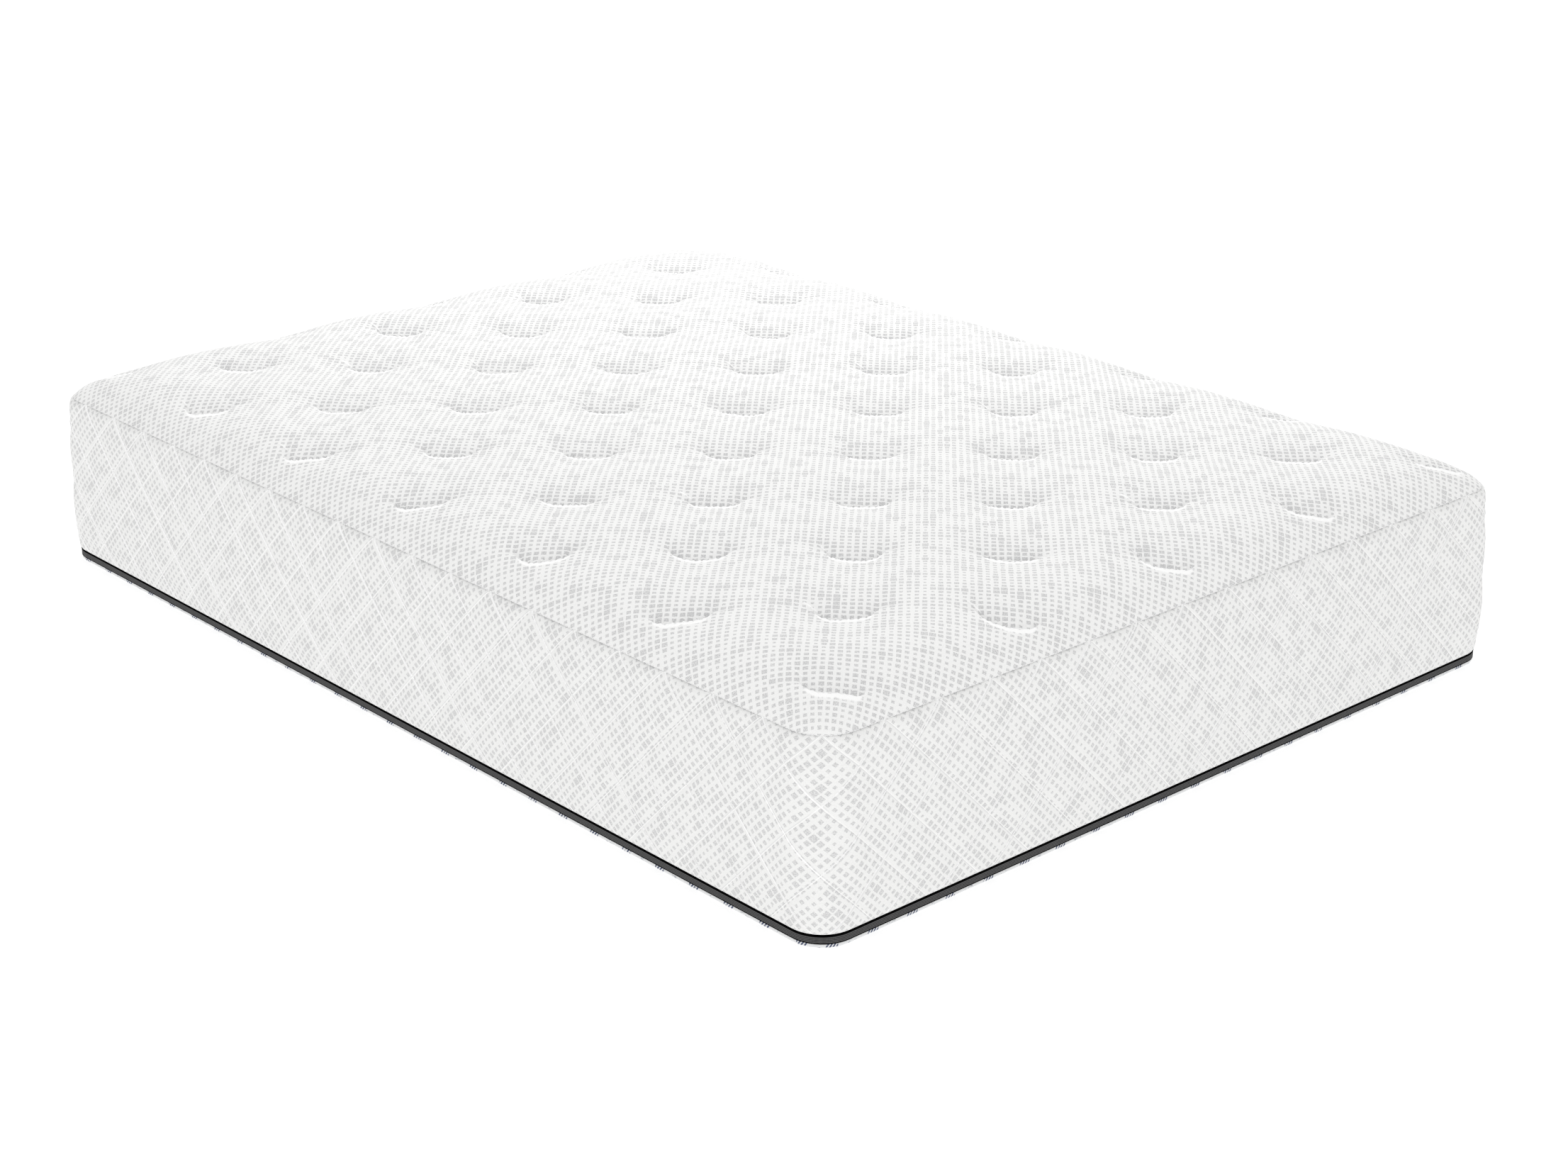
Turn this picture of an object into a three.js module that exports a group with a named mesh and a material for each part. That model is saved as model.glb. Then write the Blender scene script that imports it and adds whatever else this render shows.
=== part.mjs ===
// A tufted memory foam mattress, queen size, built as the pieces that it is sewn and stacked from.
//
// Frame: millimetres, +Z up, origin on the resting face under the centre of the mattress.
// X runs across the bed, +Y towards the head. Every piece is described by how far it lies inside
// the mattress's overall outline (its inset) and by its height.

import * as THREE from 'three';
import { mergeVertices } from 'three/addons/utils/BufferGeometryUtils.js';

// ---------------------------------------------------------------- driving dimensions

const WIDTH = 1524;
const LENGTH = 2032;
const HEIGHT = 356;             // to the tops of the pillows between the tufts

const GAP = 0.3;                // clearance between pieces that touch
const ARC_STEPS = 6;            // facets in one rounded corner

const BASE_RADIUS = 46;         // plan corner radius along the bottom edge
const SEAM_RADIUS = 60;         // plan corner radius along the top seam
const SEAM_INSET = 12.3;
const SEAM_HEIGHT = 307;        // top face of the ticking where it meets the border
const SHOULDER = 150;           // how far in from the seam the top keeps rising
const SHOULDER_POWER = 3;

const TUFT_PITCH_X = 167.8;     // tufts stand on every other crossing of this lattice
const TUFT_PITCH_Y = 157.3;
const TUFT_COLUMNS = 4;         // lattice steps from the centre to the last tuft
const TUFT_ROWS = 6;
const TUFT_DEPTH = 12;
const TUFT_FADE = 50;           // the quilting is shallower within this distance of the seam
const CORNER_POWER = 5;         // superellipse that rounds the crown's contours at the corners

const TICKING = 2;
const WADDING = { rim: 2, middle: 20 };
const QUILT_FOAM = { rim: 2, middle: 18 };
const QUILT_BACKING = 0.8;
const INNER_RIM = 0.88;         // where the quilt's inner layers stop, as a share of the edge band

const BORDER_TICKING = 1.8;
const BORDER_FOOT_INSET = 7.5;  // face of the border just above the binding
const BORDER_BULGE = 9.09;
const BORDER_BULGE_POWER = 3;   // higher is flatter at mid height and rounder at the edges
const BORDER_BACKING = 0.8;
const BORDER_INNER_INSET = 19.3;

const PANEL_THICKNESS = 2;
const PANEL_LIP = 5;            // height of the bottom panel's turned-up edge
const PANEL_LIP_INSET = 5;

const BINDING_INSET = 4;
const BINDING_DEPTH = 4.6;
const BINDING_EDGE_TOP = 6.6;
const BINDING_BAND_TOP = 17.3;
const BINDING_TOP = 22;

const SOCK = 1.5;
const SOCK_CLEARANCE = 1.8;     // the sleeve lies loosely under the quilt's backing
const SOCK_TURN_UNDER = 70;
const SUPPORT_FOAM = 190;
const TRANSITION_FOAM = 51.7;

const THREAD_RADIUS = 0.6;
const THREAD_CLEARANCE = 0.8;

// ---------------------------------------------------------------- outlines

// Rounded rectangle that lies inset from the overall outline, counterclockwise from above.
function outline(inset, radius) {
  const cx = WIDTH / 2 - inset - radius;
  const cy = LENGTH / 2 - inset - radius;
  const centres = [[cx, cy], [-cx, cy], [-cx, -cy], [cx, -cy]];
  return centres.flatMap(([x, y], corner) =>
    Array.from({ length: ARC_STEPS + 1 }, (_, i) => {
      const angle = (corner + i / ARC_STEPS) * Math.PI / 2;
      return [x + radius * Math.cos(angle), y + radius * Math.sin(angle)];
    }));
}

// Corner radius at a height: tight along the bottom edge, wider along the top seam.
function radiusAt(z) {
  return THREE.MathUtils.lerp(BASE_RADIUS, SEAM_RADIUS, THREE.MathUtils.clamp(z / SEAM_HEIGHT, 0, 1));
}

// One outline at a height, as a section of a loft.
function section(inset, z, radius = radiusAt(z) - inset + SEAM_INSET) {
  return outline(inset, radius).map(([x, y]) => new THREE.Vector3(x, y, z));
}

// ---------------------------------------------------------------- solids from sections

// Closed mesh from points and the triangles that join them.
function solid(points, triangles) {
  const geometry = new THREE.BufferGeometry();
  geometry.setAttribute('position', new THREE.Float32BufferAttribute(points.flatMap((p) => p.toArray()), 3));
  geometry.setIndex(triangles.flat());
  const merged = mergeVertices(geometry, 1e-4);
  merged.computeVertexNormals();
  return merged;
}

// Triangles between successive rows of a strip; a closed strip joins its last row to its first.
function bands(rows, columns, closed) {
  const triangles = [];
  const last = closed ? rows : rows - 1;
  for (let row = 0; row < last; row += 1) {
    for (let i = 0; i < columns; i += 1) {
      const a = row * columns + i;
      const b = row * columns + (i + 1) % columns;
      const c = ((row + 1) % rows) * columns + (i + 1) % columns;
      const d = ((row + 1) % rows) * columns + i;
      triangles.push([a, b, c], [a, c, d]);
    }
  }
  return triangles;
}

// Solid whose sections run from a cap that faces down, round the outside, to a cap that faces up.
function capped(sections) {
  const columns = sections[0].length;
  const points = sections.flat();
  const triangles = bands(sections.length, columns, false);
  const centre = (row) => new THREE.Vector3(0, 0, row[0].z);
  const bottom = points.push(centre(sections[0])) - 1;
  const top = points.push(centre(sections.at(-1))) - 1;
  const lastRow = (sections.length - 1) * columns;
  for (let i = 0; i < columns; i += 1) {
    const next = (i + 1) % columns;
    triangles.push([bottom, next, i], [top, lastRow + i, lastRow + next]);
  }
  return solid(points, triangles);
}

// Ring whose profile, a list of [inset, z], runs round the mattress: up its outer face, down its inner.
function ring(profile) {
  const sections = profile.map(([inset, z]) => section(inset, z));
  return solid(sections.flat(), bands(sections.length, sections[0].length, true));
}

// ---------------------------------------------------------------- the crown of the top panel

// 0 at the seam, 1 where the shoulder has flattened out.
function rise(distance) {
  return 1 - (1 - THREE.MathUtils.clamp(distance / SHOULDER, 0, 1)) ** SHOULDER_POWER;
}

// Distance in from the seam, with the corners rounded off.
function seamDistance(x, y) {
  const beyond = (value, half) => Math.max(0, 1 - (half - SEAM_INSET - Math.abs(value)) / SHOULDER);
  const a = beyond(x, WIDTH / 2);
  const b = beyond(y, LENGTH / 2);
  return SHOULDER * (1 - (a ** CORNER_POWER + b ** CORNER_POWER) ** (1 / CORNER_POWER));
}

// Top face of the ticking: the shoulder's rise, drawn down at each tuft.
function tickingTop(x, y) {
  const distance = seamDistance(x, y);
  const wave = Math.cos(Math.PI * x / TUFT_PITCH_X) * Math.cos(Math.PI * y / TUFT_PITCH_Y);
  const pit = ((1 + wave) / 2) ** 2;
  const fade = THREE.MathUtils.clamp(distance / TUFT_FADE, 0, 1);
  return SEAM_HEIGHT + (HEIGHT - SEAM_HEIGHT) * rise(distance) - TUFT_DEPTH * fade * pit;
}

// Height of the ticking with no tufts, less a depth that grows from the rim to the middle.
function beneath(distance, rimDepth, middleDepth) {
  const share = rise(distance);
  const top = SEAM_HEIGHT + (HEIGHT - SEAM_HEIGHT) * share;
  return top - THREE.MathUtils.lerp(rimDepth, middleDepth, share);
}

const WADDING_TOP = TICKING + GAP;
const FOAM_TOP = { rim: WADDING_TOP + WADDING.rim + GAP, middle: WADDING_TOP + WADDING.middle + GAP };
const BACKING_TOP = {
  rim: FOAM_TOP.rim + QUILT_FOAM.rim + GAP,
  middle: FOAM_TOP.middle + QUILT_FOAM.middle + GAP,
};

// Lattice lines from side to side. A tufted layer has one every half pitch; a layer with no tufts is
// level in the middle and needs only the lines of the shoulder.
function latticeLines(pitch, count, half, { tufted, share }) {
  const last = pitch * count;
  const band = half - SEAM_INSET - last;
  const first = tufted ? 1 : 2 * count - 1;
  const inner = Array.from({ length: 2 * count + 1 - first }, (_, i) => (first + i) * pitch / 2);
  const outer = [0.33, 0.66, INNER_RIM, 1].filter((f) => f <= share).map((f) => last + band * f);
  const positive = [...inner, ...outer];
  return [...positive.map((v) => -v).reverse(), ...(tufted ? [0] : []), ...positive];
}

// Draws a lattice point of a corner patch in, along its ray from the corner tuft, so that the
// patch ends on the rounded seam.
function roundCorner(x, y) {
  const tuft = new THREE.Vector2(TUFT_PITCH_X * TUFT_COLUMNS, TUFT_PITCH_Y * TUFT_ROWS);
  const band = new THREE.Vector2(WIDTH / 2 - SEAM_INSET, LENGTH / 2 - SEAM_INSET).sub(tuft);
  const step = new THREE.Vector2(Math.abs(x), Math.abs(y)).sub(tuft);
  if (step.x <= 0 || step.y <= 0) return [x, y];
  const edge = step.clone().divideScalar(Math.max(step.x / band.x, step.y / band.y));
  const centre = band.clone().subScalar(SEAM_RADIUS);
  if (edge.x > centre.x && edge.y > centre.y) {
    const along = edge.dot(centre);
    const spread = centre.lengthSq() - SEAM_RADIUS ** 2;
    step.multiplyScalar((along + Math.sqrt(along ** 2 - edge.lengthSq() * spread)) / edge.lengthSq());
  }
  return [Math.sign(x) * (tuft.x + step.x), Math.sign(y) * (tuft.y + step.y)];
}

// Closed sheet of the quilted top between two height functions of the plan position.
function quiltLayer(topHeight, bottomHeight, lattice) {
  const xs = latticeLines(TUFT_PITCH_X, TUFT_COLUMNS, WIDTH / 2, lattice);
  const ys = latticeLines(TUFT_PITCH_Y, TUFT_ROWS, LENGTH / 2, lattice);
  const plan = ys.flatMap((y) => xs.map((x) => roundCorner(x, y)));
  const sheet = (height) => plan.map(([x, y]) => new THREE.Vector3(x, y, height(x, y)));
  const columns = xs.length;
  const rows = ys.length;
  const under = plan.length;
  const triangles = [];
  for (let j = 0; j < rows - 1; j += 1) {
    for (let i = 0; i < columns - 1; i += 1) {
      const a = j * columns + i;
      const b = a + 1;
      const c = b + columns;
      const d = a + columns;
      const halves = (i < columns / 2 - 1) === (j < rows / 2 - 1)
        ? [[a, b, c], [a, c, d]]
        : [[a, b, d], [b, c, d]];
      triangles.push(...halves);
      triangles.push(...halves.map(([p, q, r]) => [under + r, under + q, under + p]));
    }
  }
  const rim = [
    ...Array.from({ length: columns - 1 }, (_, i) => i),
    ...Array.from({ length: rows - 1 }, (_, j) => j * columns + columns - 1),
    ...Array.from({ length: columns - 1 }, (_, i) => rows * columns - 1 - i),
    ...Array.from({ length: rows - 1 }, (_, j) => (rows - 1 - j) * columns),
  ];
  rim.forEach((p, k) => {
    const q = rim[(k + 1) % rim.length];
    triangles.push([p, under + p, under + q], [p, under + q, q]);
  });
  return solid([...sheet(topHeight), ...sheet(bottomHeight)], triangles);
}

// ---------------------------------------------------------------- the quilted top panel

function topTicking() {
  return quiltLayer(tickingTop, (x, y) => tickingTop(x, y) - TICKING, { tufted: true, share: 1 });
}

// Height function of a surface that runs from one depth at the rim to another in the middle.
function levelled({ rim, middle }) {
  return (x, y) => beneath(seamDistance(x, y), rim, middle);
}

function deepened({ rim, middle }, extra) {
  return { rim: rim + extra, middle: middle + extra };
}

function quiltWadding() {
  const top = (x, y) => tickingTop(x, y) - WADDING_TOP;
  return quiltLayer(top, levelled(deepened(FOAM_TOP, -GAP)), { tufted: true, share: INNER_RIM });
}

function quiltFoam() {
  const bottom = levelled(deepened(BACKING_TOP, -GAP));
  return quiltLayer(levelled(FOAM_TOP), bottom, { tufted: false, share: INNER_RIM });
}

function quiltBacking() {
  const bottom = levelled(deepened(BACKING_TOP, QUILT_BACKING));
  return quiltLayer(levelled(BACKING_TOP), bottom, { tufted: false, share: INNER_RIM });
}

// ---------------------------------------------------------------- the border

const BORDER_TOP = SEAM_HEIGHT - TICKING - GAP;
const BEHIND_BINDING = BINDING_INSET + BINDING_DEPTH + GAP;

// Outer face of the border: tucked behind the binding, bulging above it, drawn in to the seam. Its
// points crowd towards both edges, where it curves most.
function borderFace() {
  const foot = BINDING_TOP + 1;
  const steps = 12;
  const face = Array.from({ length: steps + 1 }, (_, i) => {
    const share = (1 - Math.cos(Math.PI * i / steps)) / 2;
    const straight = THREE.MathUtils.lerp(BORDER_FOOT_INSET, SEAM_INSET, share);
    const fullness = (1 - Math.abs(2 * share - 1) ** BORDER_BULGE_POWER) ** (1 / BORDER_BULGE_POWER);
    return [straight - BORDER_BULGE * fullness, THREE.MathUtils.lerp(foot, BORDER_TOP, share)];
  });
  return [[BEHIND_BINDING, PANEL_LIP + GAP], [BEHIND_BINDING, BINDING_TOP], ...face];
}

function deeper(profile, distance) {
  return profile.map(([inset, z]) => [inset + distance, z]);
}

function borderTicking() {
  const face = borderFace();
  return ring([...face, ...deeper(face, BORDER_TICKING).reverse()]);
}

function borderFoam() {
  const face = deeper(borderFace(), BORDER_TICKING + GAP);
  const back = BORDER_INNER_INSET - BORDER_BACKING - GAP;
  return ring([...face, [back, BORDER_TOP], [back, PANEL_LIP + GAP]]);
}

function borderBacking() {
  const front = BORDER_INNER_INSET - BORDER_BACKING;
  const foot = PANEL_LIP + GAP;
  return ring([[front, foot], [front, BORDER_TOP], [BORDER_INNER_INSET, BORDER_TOP], [BORDER_INNER_INSET, foot]]);
}

// Round cord section, from its outer side upwards.
function cordProfile(inset, z, radius, sides) {
  return Array.from({ length: sides }, (_, i) => {
    const angle = i / sides * 2 * Math.PI;
    return [inset - radius * Math.cos(angle), z + radius * Math.sin(angle)];
  });
}

function topSeamThread() {
  const inset = SEAM_INSET - THREAD_CLEARANCE - THREAD_RADIUS;
  return ring(cordProfile(inset, SEAM_HEIGHT - TICKING, THREAD_RADIUS, 6));
}

// ---------------------------------------------------------------- the binding round the bottom edge

function bindingTape() {
  const back = BINDING_INSET + BINDING_DEPTH;
  const bottom = BINDING_EDGE_TOP + GAP;
  return ring([
    [BINDING_INSET + 0.8, bottom],
    [BINDING_INSET, bottom + 0.8],
    [BINDING_INSET, BINDING_BAND_TOP - 0.8],
    [BINDING_INSET + 0.8, BINDING_BAND_TOP],
    [back, BINDING_BAND_TOP],
    [back, bottom],
  ]);
}

function bindingPiping() {
  const radius = (BINDING_TOP - BINDING_BAND_TOP - GAP) / 2;
  return ring(cordProfile(BINDING_INSET + radius, BINDING_TOP - radius, radius, 8));
}

function bindingLowerEdge() {
  const back = BINDING_INSET + BINDING_DEPTH;
  const bottom = PANEL_LIP + GAP;
  const middle = (bottom + BINDING_EDGE_TOP) / 2;
  return ring([
    [BINDING_INSET + 0.9, bottom],
    [BINDING_INSET + 0.4, middle],
    [BINDING_INSET + 0.9, BINDING_EDGE_TOP],
    [back, BINDING_EDGE_TOP],
    [back, bottom],
  ]);
}

// Flat panel that the mattress rests on, with its edge turned up below the binding.
function bottomPanel() {
  const inner = PANEL_LIP_INSET + PANEL_THICKNESS;
  return capped([
    section(PANEL_LIP_INSET + 1.2, 0),
    section(PANEL_LIP_INSET, 1.2),
    section(PANEL_LIP_INSET, PANEL_LIP),
    section(inner, PANEL_LIP),
    section(inner, PANEL_THICKNESS),
  ]);
}

// ---------------------------------------------------------------- the sock and the foam

const SOCK_INSET = BORDER_INNER_INSET + GAP;
const SOCK_BOTTOM = PANEL_THICKNESS + GAP;
const SOCK_TOP = deepened(BACKING_TOP, QUILT_BACKING + SOCK_CLEARANCE);
const CORE_INSET = SOCK_INSET + SOCK + GAP;
const CORE_TOP = deepened(SOCK_TOP, SOCK + GAP);
const CORE_BOTTOM = SOCK_BOTTOM + SOCK + GAP;

// Section of the sleeve or the foam, with corners that tighten towards the middle as the crown's do.
function coreSection(inset, z) {
  return section(inset, z, radiusAt(z) * (1 - (inset - SEAM_INSET) / SHOULDER) + 1);
}

// Shoulder sections of a piece of the core, from its side face to the level middle.
function crownSections(sideInset, depth) {
  const distances = [sideInset - SEAM_INSET, 16, 30, 50, 79, 105, SHOULDER];
  return distances.map((distance) =>
    coreSection(SEAM_INSET + distance, beneath(distance, depth.rim, depth.middle)));
}

// Knitted sleeve pulled over the foam from above, its hem turned under the bottom edge.
function fireBarrierSock() {
  const inner = SOCK_INSET + SOCK;
  const hem = SOCK_INSET + SOCK_TURN_UNDER;
  return capped([
    ...crownSections(inner, deepened(SOCK_TOP, SOCK)).reverse(),
    coreSection(inner, SOCK_BOTTOM + SOCK),
    coreSection(hem, SOCK_BOTTOM + SOCK),
    coreSection(hem, SOCK_BOTTOM),
    coreSection(SOCK_INSET, SOCK_BOTTOM),
    ...crownSections(SOCK_INSET, SOCK_TOP),
  ]);
}

function slab(bottom, top) {
  return capped([coreSection(CORE_INSET, bottom), coreSection(CORE_INSET, top)]);
}

function gelMemoryFoam() {
  const bottom = CORE_BOTTOM + SUPPORT_FOAM + TRANSITION_FOAM + 2 * GAP;
  return capped([coreSection(CORE_INSET, bottom), ...crownSections(CORE_INSET, CORE_TOP)]);
}

function transitionFoam() {
  const bottom = CORE_BOTTOM + SUPPORT_FOAM + GAP;
  return slab(bottom, bottom + TRANSITION_FOAM);
}

function supportFoam() {
  return slab(CORE_BOTTOM, CORE_BOTTOM + SUPPORT_FOAM);
}

// ---------------------------------------------------------------- materials and assembly

const cloth = (color, roughness = 0.95) => new THREE.MeshStandardMaterial({ color, roughness, metalness: 0 });

const KNIT = cloth(0xeeeeec);
const FIBRE = cloth(0xf7f6f2);
const FOAM_WHITE = cloth(0xf1efe6);
const NON_WOVEN = cloth(0xdcdcd8);
const CHARCOAL = cloth(0x4a4a4a, 0.8);
const BLACK = cloth(0x101010, 0.7);
const PANEL_CLOTH = cloth(0xe9eaec);
const SOCK_KNIT = cloth(0xe4dfd2);
const GEL_FOAM = cloth(0xa9cbe0, 0.85);
const TRANSITION_GREY = cloth(0xcfd6da, 0.9);
const SUPPORT_WHITE = cloth(0xe8e4d6, 0.9);

const PIECES = [
  ['top_ticking', topTicking, KNIT],
  ['quilt_wadding', quiltWadding, FIBRE],
  ['quilt_foam', quiltFoam, FOAM_WHITE],
  ['quilt_backing', quiltBacking, NON_WOVEN],
  ['top_seam_thread', topSeamThread, NON_WOVEN],
  ['border_ticking', borderTicking, KNIT],
  ['border_foam', borderFoam, FOAM_WHITE],
  ['border_backing', borderBacking, NON_WOVEN],
  ['binding_piping', bindingPiping, BLACK],
  ['binding_tape', bindingTape, CHARCOAL],
  ['binding_lower_edge', bindingLowerEdge, BLACK],
  ['bottom_panel', bottomPanel, PANEL_CLOTH],
  ['fire_barrier_sock', fireBarrierSock, SOCK_KNIT],
  ['gel_memory_foam', gelMemoryFoam, GEL_FOAM],
  ['transition_foam', transitionFoam, TRANSITION_GREY],
  ['support_foam', supportFoam, SUPPORT_WHITE],
];

const mattress = new THREE.Group();
PIECES.forEach(([name, make, material]) => {
  const mesh = new THREE.Mesh(make(), material);
  mesh.name = name;
  mattress.add(mesh);
});

export default mattress;
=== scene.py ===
import math

import bpy
import numpy as np
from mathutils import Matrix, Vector
from mathutils.geometry import delaunay_2d_cdt


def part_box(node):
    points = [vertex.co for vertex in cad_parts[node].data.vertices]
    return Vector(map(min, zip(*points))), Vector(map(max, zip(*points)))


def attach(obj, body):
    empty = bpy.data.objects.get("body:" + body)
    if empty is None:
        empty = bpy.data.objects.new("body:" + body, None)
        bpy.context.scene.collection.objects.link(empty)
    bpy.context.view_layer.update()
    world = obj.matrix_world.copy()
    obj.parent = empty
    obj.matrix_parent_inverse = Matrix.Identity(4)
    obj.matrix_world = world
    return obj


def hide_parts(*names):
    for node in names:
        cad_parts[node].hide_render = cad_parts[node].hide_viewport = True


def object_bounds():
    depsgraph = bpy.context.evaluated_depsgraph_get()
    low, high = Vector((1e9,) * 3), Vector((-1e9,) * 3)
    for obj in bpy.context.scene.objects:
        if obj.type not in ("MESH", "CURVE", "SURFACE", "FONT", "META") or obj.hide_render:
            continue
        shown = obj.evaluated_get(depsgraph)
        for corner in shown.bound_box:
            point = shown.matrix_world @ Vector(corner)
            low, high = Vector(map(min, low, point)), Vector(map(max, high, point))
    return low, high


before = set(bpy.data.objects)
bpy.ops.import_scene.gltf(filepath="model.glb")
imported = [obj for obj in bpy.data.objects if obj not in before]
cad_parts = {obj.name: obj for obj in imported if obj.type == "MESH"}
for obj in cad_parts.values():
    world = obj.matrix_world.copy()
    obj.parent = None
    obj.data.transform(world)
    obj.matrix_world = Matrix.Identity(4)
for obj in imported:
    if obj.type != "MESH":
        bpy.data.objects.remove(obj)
cad_low, cad_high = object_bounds()

# ---- dimensions, metres

MM = 0.001
WIDTH = cad_high.x - cad_low.x
LENGTH = cad_high.y - cad_low.y
HEIGHT = cad_high.z + 3 * MM  # of the crown, before the tufts draw it down


def node_inset(node):
    """How far inside the CAD model's sides a node lies."""
    low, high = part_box(node)
    return (WIDTH - (high.x - low.x)) / 2


TICKING = 2 * MM
BINDING_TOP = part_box("binding_piping")[1].z - 1.2 * MM
BAND_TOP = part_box("binding_tape")[1].z - 0.8 * MM
BAND_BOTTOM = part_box("binding_tape")[0].z + 0.4 * MM
LEDGE = BAND_BOTTOM - 1.6 * MM  # underside of the binding's lower edge
BINDING_INSET = node_inset("binding_tape")
BINDING_BACK = BINDING_INSET + 4.6 * MM
SEAM_INSET = node_inset("top_ticking")
SEAM_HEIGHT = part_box("top_ticking")[0].z + TICKING
BASE_RADIUS = 46 * MM
SEAM_RADIUS = 60 * MM
LEAST_RADIUS = 5 * MM

SHOULDER = 150 * MM  # how far in from the seam the top keeps rising
SHOULDER_POWER = 3
CORNER_POWER = 5.5  # superellipse that rounds the crown's contours at the corners
EDGE_BLEND = 40 * MM  # the contours follow the seam itself within this distance

TUFT_PITCH_X = 167.8 * MM
TUFT_PITCH_Y = 157.3 * MM
TUFT_COLUMNS = 4
TUFT_ROWS = 6
TUFT_FADE = 85 * MM  # tufts are shallower within this distance of the seam
TUFT_PULL = 13 * MM
TUFT_REACH = 19 * MM
TUFT_HALF = 35 * MM  # half the length of a tuft's bar
TUFT_SMILE = 11 * MM
PILLOW_DIP = 8 * MM
PUCKER_PITCH = 8.6 * MM
PUCKER = 2.6 * MM
ROPE = 2.4 * MM  # height of the ridge of cloth in front of the bar
STRAY = 1.4 * MM  # how far the bar and its puckers stray from even places

QUILT_PERIODS = 69  # whole diamonds round the border
QUILT_ROWS = 3
DOT_PERIODS = 432
STITCH = 6 * MM

RIM_COLUMNS = 720
RING_COLUMNS = 432
BINDING_COLUMNS = 860
HEM_COLUMNS = 900

WHITE = (0.865, 0.865, 0.856)
DARKER_WHITE = (0.82, 0.82, 0.81)
# The top's whites are the border's knit made lighter: painted light on the top's upward face.
TOP_WHITE_WITH_PAINTED_LIGHT = (0.92, 0.92, 0.912)
TOP_DARKER_WHITE_WITH_PAINTED_LIGHT = (0.87, 0.87, 0.862)
# Thread white, also used for painted highlights on the tufts' crests, the hem's folded edge and the
# brighter quilting lines.
THREAD_WHITE_AND_PAINTED_HIGHLIGHT = (0.98, 0.98, 0.975)
FINE_LINE = (0.935, 0.935, 0.92)
LINE_SHADOW = (0.74, 0.74, 0.74)
# Painted shade for the slopes behind the tufts: the knit's ground and its dots there are darkened.
PAINTED_SLOPE_SHADE_GREY = (0.6, 0.6, 0.605)
DOT_GREY = (0.57, 0.57, 0.573)
DOT_GREY_IN_PAINTED_SHADE = (0.5, 0.5, 0.505)


# ---- the outline

def segment_table():
    """Pieces of the seam's outline: length, corner signs and facing angle at each end."""
    sides = [span - 2 * (SEAM_INSET + SEAM_RADIUS) for span in (WIDTH, LENGTH)]
    arc = math.pi / 2 * SEAM_RADIUS
    corners = [(-1, -1), (1, -1), (1, 1), (-1, 1), (-1, -1)]
    pieces = [(arc / 2, *corners[0], *corners[0], 225, 270)]
    for k, (corner, after) in enumerate(zip(corners, corners[1:])):
        angle = 270 + 90 * k
        turn, length = (45, arc / 2) if k == 3 else (90, arc)
        pieces.append((sides[k % 2], *corner, *after, angle, angle))
        pieces.append((length, *after, *after, angle, angle + turn))
    return np.array(pieces)


SEGMENTS = segment_table()
PERIMETER = SEGMENTS[:, 0].sum()
QUILT_PERIOD = PERIMETER / QUILT_PERIODS
DOT_PERIOD = PERIMETER / DOT_PERIODS


def outline(share, inset, radius):
    """Points and facing directions at shares of the way round, counterclockwise from above."""
    at = np.mod(share, 1) * PERIMETER
    ends = np.cumsum(SEGMENTS[:, 0])
    index = np.minimum(np.searchsorted(ends, at, side="right"), len(ends) - 1)
    piece = SEGMENTS[index]
    part = ((at - ends[index]) / piece[:, 0] + 1)[:, None]
    sign = piece[:, 1:3] * (1 - part) + piece[:, 3:5] * part
    angle = np.radians(piece[:, 5] * (1 - part[:, 0]) + piece[:, 6] * part[:, 0])
    facing = np.column_stack([np.cos(angle), np.sin(angle)])
    reach = inset + radius
    half = np.column_stack([WIDTH / 2 - reach, LENGTH / 2 - reach]) * np.ones((len(at), 1))
    return sign * half + facing * np.reshape(radius, (-1, 1)), facing


def radius_at(z):
    """Plan corner radius of the seam inset at a height."""
    return BASE_RADIUS + (SEAM_RADIUS - BASE_RADIUS) * np.clip(z / SEAM_HEIGHT, 0, 1)


def around(share, inset, z):
    """Points at an inset and height, with their facing directions, as 3-D rows."""
    inset = inset + np.zeros(len(share))
    z = z + np.zeros(len(share))
    radius = np.maximum(radius_at(z) - inset + SEAM_INSET, LEAST_RADIUS)
    plan, facing = outline(share, inset, radius)
    return np.column_stack([plan, z]), np.column_stack([facing, np.zeros(len(share))])


# ---- meshes

def new_object(name, data):
    made = bpy.data.objects.new(name, data)
    bpy.context.scene.collection.objects.link(made)
    return made


def new_piece(name, node, points, faces, slot, uvs=None, look=None):
    """Smooth piece from points and lists of faces that stands for a CAD node."""
    mesh = bpy.data.meshes.new(name)
    rows = [face for group in faces for face in np.asarray(group).tolist()]
    mesh.from_pydata(np.asarray(points).tolist(), [], rows)
    mesh.shade_smooth()
    if uvs is not None:
        layer = mesh.uv_layers.new(name="weave")
        layer.data.foreach_set("uv", np.ascontiguousarray(uvs, dtype=np.float32).ravel())
    mesh.materials.append(LOOKS[look or slot])
    piece = new_object(name, mesh)
    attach(piece, "root")
    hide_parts(node)
    return piece


def shares(count):
    """Evenly spaced shares of the way round."""
    return np.arange(count) / count


def loop(count):
    """Places in a closed row of points, and the place after each."""
    k = np.arange(count)
    return k, (k + 1) % count


def strip_faces(rows, columns, closed=False):
    """Quads between successive rows of points that each close on themselves."""
    row = np.arange(rows if closed else rows - 1)[:, None]
    column, after = loop(columns)
    low, high = row * columns, (row + 1) % rows * columns
    corners = [low + column, low + after, high + after, high + column]
    return np.stack(corners, axis=-1).reshape(-1, 4)


def band_faces(low, high):
    """Quads between two closed rows, given as the numbers of their points."""
    _, after = loop(len(low))
    return np.column_stack([low, high, high[after], low[after]])


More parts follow.
